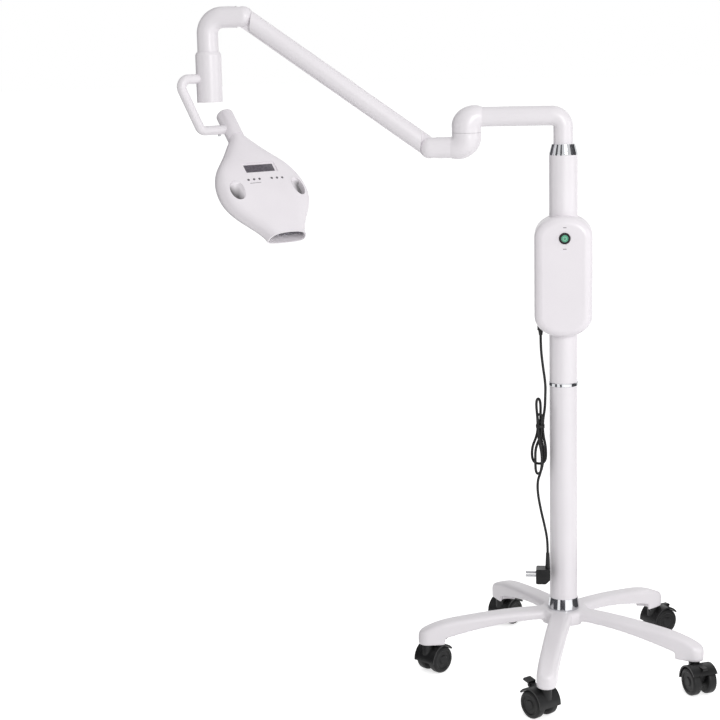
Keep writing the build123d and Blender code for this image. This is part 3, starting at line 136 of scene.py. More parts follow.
# Mains lead, in metres: the route of the solids, with the loops of its hank hanging more open
LEAD_ROUNDNESS = 6
LEAD_STEPS = 14
LEAD_ORDER = 3
LEAD_UPPER = (
    (-0.0410, 0.0080, 0.6290),
    (-0.0410, 0.0080, 0.6060),
    (-0.0374, -0.0015, 0.5750),
    (-0.0321, -0.0119, 0.5412),
)
LEAD_HANK = (
    (-0.0328, -0.0166, 0.5176),
    (-0.0333, -0.0202, 0.5000),
    (-0.0374, -0.0210, 0.4740),
    (-0.0368, -0.0208, 0.4500),
    (-0.0312, -0.0200, 0.4240),
    (-0.0325, -0.0194, 0.3950),
    (-0.0560, -0.0169, 0.3950),
    (-0.0580, -0.0180, 0.4240),
    (-0.0470, -0.0200, 0.4500),
    (-0.0463, -0.0201, 0.4740),
    (-0.0501, -0.0184, 0.5156),
    (-0.0411, -0.0131, 0.5156),
    (-0.0415, -0.0173, 0.4740),
    (-0.0412, -0.0165, 0.4450),
    (-0.0350, -0.0120, 0.4150),
    (-0.0400, -0.0110, 0.3760),
    (-0.0500, -0.0320, 0.3780),
    (-0.0510, -0.0300, 0.4050),
    (-0.0505, -0.0246, 0.4270),
    (-0.0400, -0.0244, 0.4500),
    (-0.0397, -0.0261, 0.4740),
    (-0.0376, -0.0297, 0.4896),
    (-0.0480, -0.0286, 0.4896),
    (-0.0451, -0.0255, 0.4740),
    (-0.0455, -0.0272, 0.4560),
    (-0.0440, -0.0345, 0.4410),
    (-0.0390, -0.0345, 0.4180),
    (-0.0390, -0.0310, 0.3940),
    (-0.0420, -0.0295, 0.3790),
    (-0.0467, -0.0272, 0.3660),
)
LEAD_LOWER = (
    (-0.0471, -0.0277, 0.3440),
    (-0.0415, -0.0284, 0.3110),
    (-0.0335, -0.0290, 0.2770),
    (-0.0290, -0.0290, 0.2510),
    (-0.0290, -0.0290, 0.2290),
)

# How far each pass pulls the points of the base casting towards their neighbours
CASTING_PULL = 0.5

# Camera, in millimetres for its sensor and in metres for the end of its view
SENSOR_WIDTH = 36.0
VIEW_END = 200.0

# Dark cards of the stage: how far off and how high they stand, in metres, and where they start and stop
# round the lamp, in degrees from its front
FLAGS = (
    (1.45, 2.60, ((-140.0, -100.0), (-68.0, -50.0), (-26.0, -12.0), (66.0, 126.0))),
    (0.45, 0.12, ((-122.0, -44.0), (-20.0, 12.0), (70.0, 150.0))),
)
FLAG_DARK = (0.08, 0.08, 0.09)
FLAG_PALE = (0.13, 0.13, 0.14)

# Soft lamps of the stage: the value that holds the power, the size, the place and the point aimed at
LAMPS = {
    "key_lamp": ("key_power", (0.8, 1.6), (1.35, -3.0, 1.75), (-0.1, 0.0, 0.7)),
    "side_lamp": ("side_power", (0.6, 1.6), (2.5, -0.4, 1.2), (0.0, 0.0, 0.7)),
    "top_lamp": ("top_power", (1.6, 1.6), (-0.4, -0.6, 2.9), (-0.3, 0.0, 0.6)),
}
FLOOR_SIDES = 96
WHITE = (1.0, 1.0, 1.0, 1.0)

# Sockets of a colour mix, which share their names with those of its other kinds
MIX_FIRST = 6
MIX_SECOND = 7
MIX_RESULT = 2

# Scales of the clouds and smears in a finish, per metre, and how strongly its relief shows
CLOUD_SCALE = 14.0
SMEAR_SCALE = 55.0
RELIEF_SHARE = 0.6

# Copper tracks of the circuit boards: how many to a metre, and their share of the board
TRACK_SCALE = 160.0
TRACK_WIDTH = 0.035


# Values that a user would change
class LampCameraValues(bpy.types.PropertyGroup):
    """Where the photograph is taken from."""

    distance: bpy.props.FloatProperty(
        name="Distance", description="From the column's axis", default=3.044, unit="LENGTH"
    )
    height: bpy.props.FloatProperty(
        name="Height", description="Above the floor", default=1.171, unit="LENGTH"
    )
    pan: bpy.props.FloatProperty(
        name="Pan", description="To the left of the column", default=math.radians(6.96), subtype="ANGLE"
    )
    pitch: bpy.props.FloatProperty(
        name="Pitch", description="Down from level", default=math.radians(10.83), subtype="ANGLE"
    )
    roll: bpy.props.FloatProperty(
        name="Roll", description="About the line of sight", default=math.radians(-1.35), subtype="ANGLE"
    )
    lens: bpy.props.FloatProperty(
        name="Lens", description="Focal length in millimetres on a 36 mm sensor", default=84.85, min=10.0
    )


class LampStageValues(bpy.types.PropertyGroup):
    """Floor, backdrop level and lamps."""

    floor_colour: bpy.props.FloatVectorProperty(
        name="Floor", description="Colour of the floor", default=(0.92, 0.92, 0.92), size=3,
        subtype="COLOR",
    )
    floor_glow: bpy.props.FloatProperty(
        name="Floor glow", description="Level that the camera sees added on the floor", default=0.62,
        min=0.0,
    )
    floor_size: bpy.props.FloatProperty(
        name="Floor size", description="Radius of the floor", default=40.0, unit="LENGTH"
    )
    room_level: bpy.props.FloatProperty(
        name="Room level", description="Even light from all round", default=0.56, min=0.0
    )
    key_power: bpy.props.FloatProperty(
        name="Key lamp", description="Power of the soft lamp at the front right", default=46.0, min=0.0
    )
    side_power: bpy.props.FloatProperty(
        name="Side lamp", description="Power of the soft lamp at the right", default=14.0, min=0.0
    )
    top_power: bpy.props.FloatProperty(
        name="Top lamp", description="Power of the soft lamp overhead", default=3.0, min=0.0
    )


class LampFinishValues(bpy.types.PropertyGroup):
    """Colours of the finishes."""

    enamel: bpy.props.FloatVectorProperty(
        name="Enamel", description="Painted tubes and legs", default=(0.80, 0.77, 0.80), size=3,
        subtype="COLOR",
    )
    moulding: bpy.props.FloatVectorProperty(
        name="Moulding", description="White mouldings", default=(0.81, 0.775, 0.81), size=3,
        subtype="COLOR",
    )
    chrome: bpy.props.FloatVectorProperty(
        name="Chrome", description="Plated collars", default=(0.62, 0.63, 0.65), size=3, subtype="COLOR"
    )
    zinc: bpy.props.FloatVectorProperty(
        name="Zinc", description="Screws and pins", default=(0.50, 0.50, 0.52), size=3, subtype="COLOR"
    )
    aluminium: bpy.props.FloatVectorProperty(
        name="Aluminium", description="Heat sink", default=(0.55, 0.56, 0.58), size=3, subtype="COLOR"
    )
    board: bpy.props.FloatVectorProperty(
        name="Board", description="Circuit boards", default=(0.02, 0.16, 0.06), size=3, subtype="COLOR"
    )
    black: bpy.props.FloatVectorProperty(
        name="Black moulding", description="Caster hoods and plug", default=(0.012, 0.012, 0.0125), size=3,
        subtype="COLOR",
    )
    tread: bpy.props.FloatVectorProperty(
        name="Tread", description="Wheels", default=(0.009, 0.009, 0.0095), size=3, subtype="COLOR"
    )
    lead: bpy.props.FloatVectorProperty(
        name="Lead", description="Jacket of the mains lead", default=(0.007, 0.007, 0.0075), size=3,
        subtype="COLOR",
    )
    cap: bpy.props.FloatVectorProperty(
        name="Button cap", description="Green cap of the switch", default=(0.07, 0.36, 0.21), size=3,
        subtype="COLOR",
    )
    window: bpy.props.FloatVectorProperty(
        name="Window", description="Display window", default=(0.070, 0.062, 0.078), size=3, subtype="COLOR"
    )
    pane: bpy.props.FloatVectorProperty(
        name="Outlet lens", description="Clear plastic over the lamps", default=(0.93, 0.93, 0.96), size=3,
        subtype="COLOR",
    )
    keys: bpy.props.FloatVectorProperty(
        name="Keys", description="Key caps", default=(0.10, 0.095, 0.105), size=3, subtype="COLOR"
    )
    # Painted shade on the floor of the finger grips, standing in for the shade in their recesses
    grip_shade: bpy.props.FloatProperty(
        name="Grip shade", description="How bright the floor of the finger grips is beside the moulding",
        default=0.20, min=0.0, max=1.0, subtype="FACTOR",
    )
    pale_print: bpy.props.FloatVectorProperty(
        name="Pale print", description="Ring on the switch's cap", default=(0.30, 0.62, 0.46), size=3,
        subtype="COLOR",
    )
    light_board: bpy.props.FloatVectorProperty(
        name="Light board", description="Board with the lamps", default=(0.36, 0.33, 0.39), size=3,
        subtype="COLOR",
    )
    print_grey: bpy.props.FloatVectorProperty(
        name="Print", description="Printed marks", default=(0.22, 0.20, 0.22), size=3, subtype="COLOR"
    )


class LampTrimValues(bpy.types.PropertyGroup):
    """Sizes of the lead and the small trim."""

    lead_diameter: bpy.props.FloatProperty(
        name="Lead", description="Diameter of the mains lead", default=0.0048, unit="LENGTH", precision=4
    )
    tie_height: bpy.props.FloatProperty(
        name="Tie", description="Height of the tie round the folded lead", default=0.466, unit="LENGTH"
    )
    casting_grain: bpy.props.FloatProperty(
        name="Casting grain", description="Mesh size of the base casting", default=0.002, unit="LENGTH"
    )
    casting_softness: bpy.props.IntProperty(
        name="Casting softness", description="How far the base's edges are run soft", default=16, min=0
    )
    mark_rise: bpy.props.FloatProperty(
        name="Print", description="Thickness of the printed marks", default=0.00008, unit="LENGTH",
        precision=5,
    )


# Mesh helpers
def placed(name, mesh, body, slot, *materials):
    """A new piece from a finished mesh, on a body, with its finishes. Its slot is not used."""
    piece = bpy.data.objects.new(name, mesh)
    bpy.context.scene.collection.objects.link(piece)
    for material in materials:
        mesh.materials.append(material)
    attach(piece, body)
    return piece


def mesh_from(name, work):
    """Turns a bmesh into a smooth-shaded mesh."""
    bmesh.ops.recalc_face_normals(work, faces=work.faces)
    mesh = bpy.data.meshes.new(name)
    work.to_mesh(mesh)
    work.free()
    for face in mesh.polygons:
        face.use_smooth = True
    return mesh


def band(work, near, far):
    """Faces all round between two closed rows of corners, of which one may be a single corner."""
    sides = max(len(near), len(far))
    for index in range(sides):
        follow = (index + 1) % sides
        corners = []
        for row, place in ((near, index), (near, follow), (far, follow), (far, index)):
            corner = row[place % len(row)]
            if corner not in corners:
                corners.append(corner)
        work.faces.new(corners)


def lathe(profile, sides, place):
    """A closed turned form: profile is (radius, height) pairs from one end of the axis to the other."""
    work = bmesh.new()
    rings = []
    for radius, height in profile:
        ring = []
        for index in range(sides if radius else 1):
            turn = math.tau * index / sides
            corner = Vector((radius * math.cos(turn), radius * math.sin(turn), height))
            ring.append(work.verts.new(place @ corner))
        rings.append(ring)
    for low, high in zip(rings, rings[1:]):
        band(work, low, high)
    return work


def rounded_block(size, radius, steps, place):
    """A block with rounded edges, centred on its place."""
    work = bmesh.new()
    bmesh.ops.create_cube(work, size=1.0)
    bmesh.ops.scale(work, vec=size, verts=work.verts)
    bmesh.ops.bevel(
        work,
        geom=work.edges[:],
        offset=radius,
        segments=steps,
        profile=0.5,
        affect="EDGES",
        clamp_overlap=True,
    )
    bmesh.ops.transform(work, matrix=place, verts=work.verts)
    return work


def frame_of(origin, across, up):
    """A placement from an origin, a first axis and a third axis."""
    third = up.normalized()
    second = third.cross(across).normalized()
    first = second.cross(third)
    turned = Matrix((first, second, third)).transposed().to_4x4()
    return Matrix.Translation(origin) @ turned


def on_head(across, down, out):
    """A point on the head from its own measures."""
    return HEAD_ORIGIN + HEAD_ACROSS * across + HEAD_DOWN * down + HEAD_OUT * out


def face_finder():
    """Says how high the head's front stands over its parting plane at a point of the face, in metres."""
    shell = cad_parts["head_front_shell"]
    corners = [shell.matrix_world @ vertex.co for vertex in shell.data.vertices]
    tree = BVHTree.FromPolygons(corners, [tuple(face.vertices) for face in shell.data.polygons])

    def height(across, down):
        distance = tree.ray_cast(on_head(across, down, FACE_REACH), -HEAD_OUT)[3]
        return FACE_REACH - distance

    return height


def smooth_step(value):
    """Zero up to 0 and one from 1 on, with a soft run between."""
    share = min(max(value, 0.0), 1.0)
    return share * share * (3.0 - 2.0 * share)


# Material helpers
def finish(name, colour, roughness, metallic=0.0, coat=0.0, coat_roughness=0.1, ior=1.5, gloss=0.5):
    """A new material and its shader, with the values that don't vary set on the shader."""
    material = bpy.data.materials.new(name)
    material.use_nodes = True
    tree = material.node_tree
    shader = tree.nodes["Principled BSDF"]
    shader.inputs["Base Color"].default_value = (*colour, 1.0)
    shader.inputs["Roughness"].default_value = roughness
    shader.inputs["Metallic"].default_value = metallic
    shader.inputs["Coat Weight"].default_value = coat
    shader.inputs["Coat Roughness"].default_value = coat_roughness
    shader.inputs["IOR"].default_value = ior
    shader.inputs["Specular IOR Level"].default_value = gloss
    return material, tree, shader


def place_nodes(tree, scale=(1.0, 1.0, 1.0)):
    """Object coordinates, stretched along each axis."""
    source = tree.nodes.new("ShaderNodeTexCoord").outputs["Object"]
    mapping = tree.nodes.new("ShaderNodeMapping")
    mapping.inputs["Scale"].default_value = scale
    tree.links.new(source, mapping.inputs["Vector"])
    return mapping.outputs["Vector"]


def noise(tree, place, scale, detail=3.0):
    """Noise over a place, as a value."""
    texture = tree.nodes.new("ShaderNodeTexNoise")
    texture.inputs["Scale"].default_value = scale
    texture.inputs["Detail"].default_value = detail
    tree.links.new(place, texture.inputs["Vector"])
    return texture.outputs["Fac"]


def spread(tree, value, low, high, start=0.3, stop=0.7):
    """Maps a value from start and stop to low and high."""
    span = tree.nodes.new("ShaderNodeMapRange")
    span.inputs["From Min"].default_value = start
    span.inputs["From Max"].default_value = stop
    span.inputs["To Min"].default_value = low
    span.inputs["To Max"].default_value = high
    tree.links.new(value, span.inputs["Value"])
    return span.outputs["Result"]


def blend_colour(tree, share, first, second):
    """A colour between two, by a share."""
    mix = tree.nodes.new("ShaderNodeMix")
    mix.data_type = "RGBA"
    mix.inputs[MIX_FIRST].default_value = (*first, 1.0)
    mix.inputs[MIX_SECOND].default_value = (*second, 1.0)
    tree.links.new(share, mix.inputs["Factor"])
    return mix.outputs[MIX_RESULT]


def worked(tree, operation, first, second=0.0):
    """The result of one sum on a value and, where it takes two, on a second value or a plain number."""
    step = tree.nodes.new("ShaderNodeMath")
    step.operation = operation
    tree.links.new(first, step.inputs[0])
    if isinstance(second, float):
        step.inputs[1].default_value = second
    else:
        tree.links.new(second, step.inputs[1])
    return step.outputs[0]


def along_axis(tree, place, axis):
    """How far a place lies along an axis."""
    along = tree.nodes.new("ShaderNodeVectorMath")
    along.operation = "DOT_PRODUCT"
    along.inputs[1].default_value = axis
    tree.links.new(place, along.inputs[0])
    return along.outputs["Value"]


def any_ray(tree, first, *others):
    """One where the ray is of any of these kinds, and zero elsewhere."""
    path = tree.nodes.new("ShaderNodeLightPath")
    seen = path.outputs[first]
    for ray in others:
        seen = worked(tree, "MAXIMUM", seen, path.outputs[ray])
    return seen


def relief(tree, shader, height, distance, strength):
    """Bumps the shader's surface by a height value."""
    bump = tree.nodes.new("ShaderNodeBump")
    bump.inputs["Distance"].default_value = distance
    bump.inputs["Strength"].default_value = strength
    tree.links.new(height, bump.inputs["Height"])
    tree.links.new(bump.outputs["Normal"], shader.inputs["Normal"])


def shade(colour, factor):
    """A colour made darker or lighter."""
    return tuple(channel * factor for channel in colour)


def mottled(name, colour, roughness, grain, depth, tone=0.97, play=0.05, coat=0.0, gloss=0.5):
    """A finish with cloudy tone, uneven roughness and a fine grain."""
    material, tree, shader = finish(name, colour, roughness, coat=coat, gloss=gloss)
    place = place_nodes(tree)
    cloud = spread(tree, noise(tree, place, CLOUD_SCALE), 0.0, 1.0)
    tree.links.new(blend_colour(tree, cloud, shade(colour, tone), colour), shader.inputs["Base Color"])
    smear = spread(tree, noise(tree, place, SMEAR_SCALE, detail=4.0), roughness - play, roughness + play)
    tree.links.new(smear, shader.inputs["Roughness"])
    relief(tree, shader, noise(tree, place, grain, detail=2.0), distance=depth, strength=RELIEF_SHARE)
    return material


def brushed(name, colour, roughness, stretch, depth):
    """A metal with fine lines along one way."""
    material, tree, shader = finish(name, colour, roughness, metallic=1.0)
    lines = noise(tree, place_nodes(tree, stretch), 300.0)
    cloud = spread(tree, noise(tree, place_nodes(tree), 40.0), 0.0, 1.0)
    tree.links.new(blend_colour(tree, cloud, shade(colour, 0.92), colour), shader.inputs["Base Color"])
    tree.links.new(spread(tree, lines, roughness * 0.75, roughness * 1.35), shader.inputs["Roughness"])
    relief(tree, shader, lines, distance=depth, strength=0.5)
    return material


def made_once(make):
    """Makes a finish the first time that it is asked for, and gives the same one from then on."""

    @functools.wraps(make)
    def given():
        name = make.__name__
        return bpy.data.materials.get(name) or make(name, bpy.context.scene.lamp_finish)

    return given


@made_once
def tube_enamel(name, tone):
    """Smooth white paint of the tubes."""
    return mottled(name, tone.enamel, roughness=0.34, grain=420.0, depth=0.00003, coat=0.08)


@made_once
def cast_enamel(name, tone):
    """White powder coat of the cast base."""
    return mottled(name, tone.enamel, roughness=0.38, grain=620.0, depth=0.00010, tone=0.96, coat=0.12)


@made_once
def white_moulding(name, tone):
    """White moulded plastic of the head and the box."""
    return mottled(name, tone.moulding, roughness=0.34, grain=900.0, depth=0.00004, coat=0.10)


@made_once
def black_moulding(name, tone):
    """Black moulded plastic of the hoods, the levers and the plug."""
    return mottled(
        name, tone.black, roughness=0.40, grain=1100.0, depth=0.00007, tone=0.70, play=0.08, gloss=0.32
    )


@made_once
def wheel_tread(name, tone):
    """Hard rubber of the wheels."""
    return mottled(
        name, tone.tread, roughness=0.50, grain=800.0, depth=0.00010, tone=0.70, play=0.08, gloss=0.28
    )


@made_once
def lead_jacket(name, tone):
    """Rubber jacket of the mains lead."""
    return mottled(
        name, tone.lead, roughness=0.40, grain=700.0, depth=0.00005, tone=0.70, play=0.07, gloss=0.3
    )


@made_once
def key_rubber(name, tone):
    """Dark rubber of the keys."""
    return mottled(name, tone.keys, roughness=0.50, grain=1200.0, depth=0.00004, tone=0.85)


@made_once
def grip_moulding(name, tone):
    """Moulding of the finger grips with painted shade, greyer towards their floor, where the recess lies
    in shade.
    """
    material, tree, shader = finish(name, tone.moulding, roughness=0.42, coat=0.05)
    source = tree.nodes.new("ShaderNodeTexCoord").outputs["Object"]
    level = HEAD_ORIGIN.dot(HEAD_OUT)
    height = along_axis(tree, source, HEAD_OUT)
    depth = spread(tree, height, 0.0, 1.0, start=level + GRIP_FULL_SHADE, stop=level + GRIP_CLEAR)
    # Painted shade: the moulding is darkened by height over the parting plane, darkest at the grip's floor
    tree.links.new(
        blend_colour(tree, depth, shade(tone.moulding, tone.grip_shade), tone.moulding),
        shader.inputs["Base Color"],
    )
    smear = spread(tree, noise(tree, source, SMEAR_SCALE, detail=4.0), 0.37, 0.47)
    tree.links.new(smear, shader.inputs["Roughness"])
    relief(tree, shader, noise(tree, source, 900.0, detail=2.0), distance=0.00004, strength=RELIEF_SHARE)
    return material


@made_once
def print_ink(name, tone):
    """Grey ink of the printed marks."""
    return mottled(name, tone.print_grey, roughness=0.60, grain=1600.0, depth=0.00002, tone=0.90)


@made_once
def pale_ink(name, tone):
    """Pale ink of the ring on the switch's cap."""
    return mottled(name, tone.pale_print, roughness=0.50, grain=1600.0, depth=0.00002, tone=0.90)


@made_once
def light_board(name, tone):
    """Pale varnish of the light board and its lamps."""
    return mottled(
        name, tone.light_board, roughness=0.22, grain=300.0, depth=0.00005, tone=0.60, coat=0.8
    )


@made_once
def chrome_plate(name, tone):
    """Bright plate of the collars."""
    return brushed(name, tone.chrome, roughness=0.09, stretch=(0.4, 0.4, 6.0), depth=0.000008)


@made_once
def zinc_plate(name, tone):
    """Dull plate of the screws and pins."""
    return brushed(name, tone.zinc, roughness=0.30, stretch=(1.0, 1.0, 3.0), depth=0.00002)


@made_once
def extruded_aluminium(name, tone):
    """Extruded metal of the heat sink."""
    return brushed(name, tone.aluminium, roughness=0.34, stretch=(0.2, 4.0, 4.0), depth=0.00002)


@made_once
def circuit_board(name, tone):
    """Green varnish with copper tracks under it."""
    material, tree, shader = finish(name, tone.board, roughness=0.35, coat=0.4)
    bricks = tree.nodes.new("ShaderNodeTexBrick")
    bricks.inputs["Scale"].default_value = TRACK_SCALE
    bricks.inputs["Mortar Size"].default_value = TRACK_WIDTH
    tree.links.new(place_nodes(tree), bricks.inputs["Vector"])
    tracks = bricks.outputs["Fac"]
    copper = blend_colour(tree, tracks, tone.board, shade(tone.board, 1.9))
    tree.links.new(copper, shader.inputs["Base Color"])
    relief(tree, shader, tracks, distance=0.00004, strength=RELIEF_SHARE)
    return material


@made_once
def green_cap(name, tone):
    """Lit green cap of the switch."""
    material, tree, shader = finish(name, tone.cap, roughness=0.22, coat=0.5)
    place = place_nodes(tree)
    cloud = spread(tree, noise(tree, place, 420.0), 0.0, 1.0)
    lit = blend_colour(tree, cloud, shade(tone.cap, 0.75), shade(tone.cap, 1.25))
    tree.links.new(lit, shader.inputs["Base Color"])
    tree.links.new(spread(tree, noise(tree, place, 900.0), 0.18, 0.30), shader.inputs["Roughness"])
    relief(tree, shader, noise(tree, place, 1500.0), distance=0.00003, strength=0.4)
    return material


@made_once
def dark_window(name, tone):
    """Dark display window with its fine grid of dots under the glass."""
    material, tree, shader = finish(name, tone.window, roughness=0.16, coat=0.6, coat_roughness=0.05)
    source = tree.nodes.new("ShaderNodeTexCoord").outputs["Object"]
    dots = []
    for axis in (HEAD_ACROSS, HEAD_DOWN):
        wave = worked(tree, "FRACT", along_axis(tree, source, axis / DOT_PITCH))
        dots.append(worked(tree, "GREATER_THAN", wave, DOT_GAP))
    grid = worked(tree, "MULTIPLY", *dots)
    cloud = noise(tree, source, 260.0, detail=2.0)
    patch = worked(tree, "MULTIPLY", grid, spread(tree, cloud, 0.15, 1.0, start=0.42, stop=0.58))
    glass = blend_colour(tree, patch, shade(tone.window, 1.35), shade(tone.window, 0.70))
    tree.links.new(glass, shader.inputs["Base Color"])
    tree.links.new(spread(tree, noise(tree, source, 500.0), 0.12, 0.20), shader.inputs["Roughness"])
    relief(tree, shader, cloud, distance=0.00001, strength=0.3)
    return material


@made_once
def clear_pane(name, tone):
    """Clear plastic of the outlet lens."""
    material, tree, shader = finish(name, tone.pane, roughness=0.06, ior=1.49)
    shader.inputs["Transmission Weight"].default_value = 1.0
    place = place_nodes(tree)
    tree.links.new(spread(tree, noise(tree, place, 90.0), 0.03, 0.10), shader.inputs["Roughness"])
    relief(tree, shader, noise(tree, place, 200.0), distance=0.00003, strength=0.3)
    return material


def pale_floor(colour, glow):
    """Matt floor that the camera and the bright plate see as white."""
    material, tree, shader = finish("pale_floor", colour, roughness=0.9, gloss=0.0)
    cloud = spread(tree, noise(tree, place_nodes(tree), 3.0), 0.0, 1.0)
    tree.links.new(blend_colour(tree, cloud, shade(colour, 0.995), colour), shader.inputs["Base Color"])
    shader.inputs["Emission Color"].default_value = WHITE
    seen = any_ray(tree, "Is Camera Ray", "Is Glossy Ray")
    level = spread(tree, seen, 0.0, glow, start=0.0, stop=1.0)
    tree.links.new(level, shader.inputs["Emission Strength"])
    return material


def dark_card():
    """Dull card of the stage."""
    material, tree, shader = finish("dark_card", FLAG_DARK, roughness=0.8)
    cloud = spread(tree, noise(tree, place_nodes(tree), 4.0), 0.0, 1.0)
    tree.links.new(blend_colour(tree, cloud, FLAG_DARK, FLAG_PALE), shader.inputs["Base Color"])
    return material


def dress(material, *names):
    """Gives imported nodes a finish."""
    for name in names:
        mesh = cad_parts[name].data
        mesh.materials.clear()
        mesh.materials.append(material)


# Camera
class LAMP_OT_camera(bpy.types.Operator):
    """Sets up the camera where the photograph is taken from"""

    bl_idname = "lamp.camera"
    bl_label = "Camera"

    def execute(self, context):
        values = context.scene.lamp_camera
        pan, pitch, roll = -values.pan, values.pitch, values.roll
        sight = Vector(
            (math.sin(pan) * math.cos(pitch), math.cos(pan) * math.cos(pitch), -math.sin(pitch))
        )
        level = Vector((math.cos(pan), -math.sin(pan), 0.0))
        upright = level.cross(sight)
        across = level * math.cos(roll) + upright * math.sin(roll)
        up = upright * math.cos(roll) - level * math.sin(roll)
        lens = bpy.data.cameras.new("photo_camera")
        lens.sensor_width = SENSOR_WIDTH
        lens.lens = values.lens
        lens.clip_end = VIEW_END
        camera = bpy.data.objects.new("photo_camera", lens)
        turned = Matrix((across, up, -sight)).transposed().to_4x4()
        camera.matrix_world = Matrix.Translation((0.0, -values.distance, values.height)) @ turned
        context.scene.collection.objects.link(camera)
        context.scene.camera = camera
        return {"FINISHED"}


# Mains lead
class LAMP_OT_lead(bpy.types.Operator):
    """Lays the mains lead from the gland through its folded hank to the plug"""

    bl_idname = "lamp.lead"
    bl_label = "Mains lead"

    def execute(self, context):
        values = context.scene.lamp_trim
        line = bpy.data.curves.new("mains_lead", "CURVE")
        line.dimensions = "3D"
        line.bevel_depth = values.lead_diameter / 2.0
        line.bevel_resolution = LEAD_ROUNDNESS
        line.resolution_u = LEAD_STEPS
        line.use_fill_caps = True
        spline = line.splines.new("NURBS")
        points = (*LEAD_UPPER, *LEAD_HANK, *LEAD_LOWER)
        spline.points.add(len(points) - 1)
        for point, place in zip(spline.points, points):
            point.co = (*place, 1.0)
        spline.order_u = LEAD_ORDER
        spline.use_endpoint_u = True
        lead = bpy.data.objects.new("mains_lead", line)
        context.scene.collection.objects.link(lead)
        line.materials.append(lead_jacket())
        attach(lead, "stand")
        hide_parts("cord_upper", "cord_hank", "cord_lower")
        return {"FINISHED"}


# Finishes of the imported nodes
class LAMP_OT_stand(bpy.types.Operator):
    """Finishes the base, the column, its collars and the casters"""

    bl_idname = "lamp.stand"
    bl_label = "Stand"

    def casting(self, values):
        """The five-leg casting with its edges and its hub run soft, as a sand casting's are."""
        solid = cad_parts["star_base"]
        work = bpy.data.objects.new("casting_work", solid.data.copy())
        bpy.context.scene.collection.objects.link(work)
        skin = work.modifiers.new("skin", "REMESH")
        skin.mode = "VOXEL"
        skin.voxel_size = values.casting_grain
        soft = work.modifiers.new("soft", "SMOOTH")
        soft.factor = CASTING_PULL
        soft.iterations = values.casting_softness
        mesh = bpy.data.meshes.new_from_object(work.evaluated_get(bpy.context.evaluated_depsgraph_get()))
        bpy.data.objects.remove(work)
        mesh.name = "base_casting"
        mesh.materials.clear()
        for face in mesh.polygons:
            face.use_smooth = True
        piece = placed("base_casting", mesh, "stand", "white_enamel", cast_enamel())
        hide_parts("star_base")

    def execute(self, context):
        self.casting(context.scene.lamp_trim)
        dress(tube_enamel(), "lower_column", "upper_column", "lower_arm_tube")
        dress(chrome_plate(), "base_collar", "mid_ring", "top_collar")
        dress(zinc_plate(), "hub_bolt", "column_joiner", "caster_stems")
        return {"FINISHED"}


class LAMP_OT_casters(bpy.types.Operator):
    """Finishes the casters and their brake levers"""

    bl_idname = "lamp.casters"
    bl_label = "Casters"

    def execute(self, context):
        for number in range(1, CASTERS + 1):
            dress(black_moulding(), f"caster_hood_{number}")
            dress(wheel_tread(), f"caster_wheels_{number}")
        dress(black_moulding(), "brake_lever_1", "brake_lever_2")
        return {"FINISHED"}


class LAMP_OT_box(bpy.types.Operator):
    """Finishes the supply box, its switch, its gland and the plug"""

    bl_idname = "lamp.box"
    bl_label = "Supply box"

    def marks(self, values):
        """Plain dashes over and under the switch, and the pale ring and dot on its cap."""
        size = (SWITCH_MARK_LENGTH, values.mark_rise * 2.0, SWITCH_MARK_HEIGHT)
        for name, side in (("switch_mark_upper", 1.0), ("switch_mark_lower", -1.0)):
            place = Matrix.Translation(
                (SWITCH_CENTRE.x, BOX_FACE, SWITCH_CENTRE.z + SWITCH_MARK_RISE * side)
            )
            work = rounded_block(size, PRINT_EDGE, 1, place)
            placed(name, mesh_from(name, work), "stand", "white_plastic", print_ink())
        place = frame_of(SWITCH_CENTRE, Vector((1.0, 0.0, 0.0)), Vector((0.0, -1.0, 0.0)))
        rise = values.mark_rise
        inner, outer = CAP_RING
        ring = [(inner, -rise), (outer, -rise), (outer, rise), (inner, rise), (inner, -rise)]
        dot = [(0.0, -rise), (CAP_DOT, -rise), (CAP_DOT, rise), (0.0, rise)]
        for name, profile, sides, ink in (
            ("cap_ring", ring, RING_SIDES, pale_ink()),
            ("cap_dot", dot, SMALL_SIDES, print_ink()),
        ):
            placed(name, mesh_from(name, lathe(profile, sides, place)), "switch", "button_green", ink)

    def tie(self, values):
        """The strip that holds the folded lead together."""
        work = bmesh.new()
        rings = []
        for reach, height in ((0.0, -1.0), (1.0, -1.0), (1.0, 1.0), (0.0, 1.0)):
            ring = []
            for index in range(TIE_SIDES):
                turn = math.tau * index / TIE_SIDES
                corner = (
                    TIE_CENTRE[0] + (TIE_HALF[0] + TIE_THICKNESS * reach) * math.cos(turn),
                    TIE_CENTRE[1] + (TIE_HALF[1] + TIE_THICKNESS * reach) * math.sin(turn),
                    values.tie_height + TIE_WIDTH / 2.0 * height,
                )
                ring.append(work.verts.new(corner))
            rings.append(ring)
        for low, high in zip(rings, [*rings[1:], rings[0]]):
            band(work, low, high)
        placed("lead_tie", mesh_from("lead_tie", work), "stand", "black_plastic", black_moulding())

    def execute(self, context):
        dress(white_moulding(), "box_front", "box_back")
        dress(circuit_board(), "supply_board")
        dress(zinc_plate(), "box_screws", "plug_pins")
        dress(black_moulding(), "switch_bezel", "cord_gland", "plug")
        dress(green_cap(), "switch_button")
        self.marks(context.scene.lamp_trim)
        self.tie(context.scene.lamp_trim)
        return {"FINISHED"}


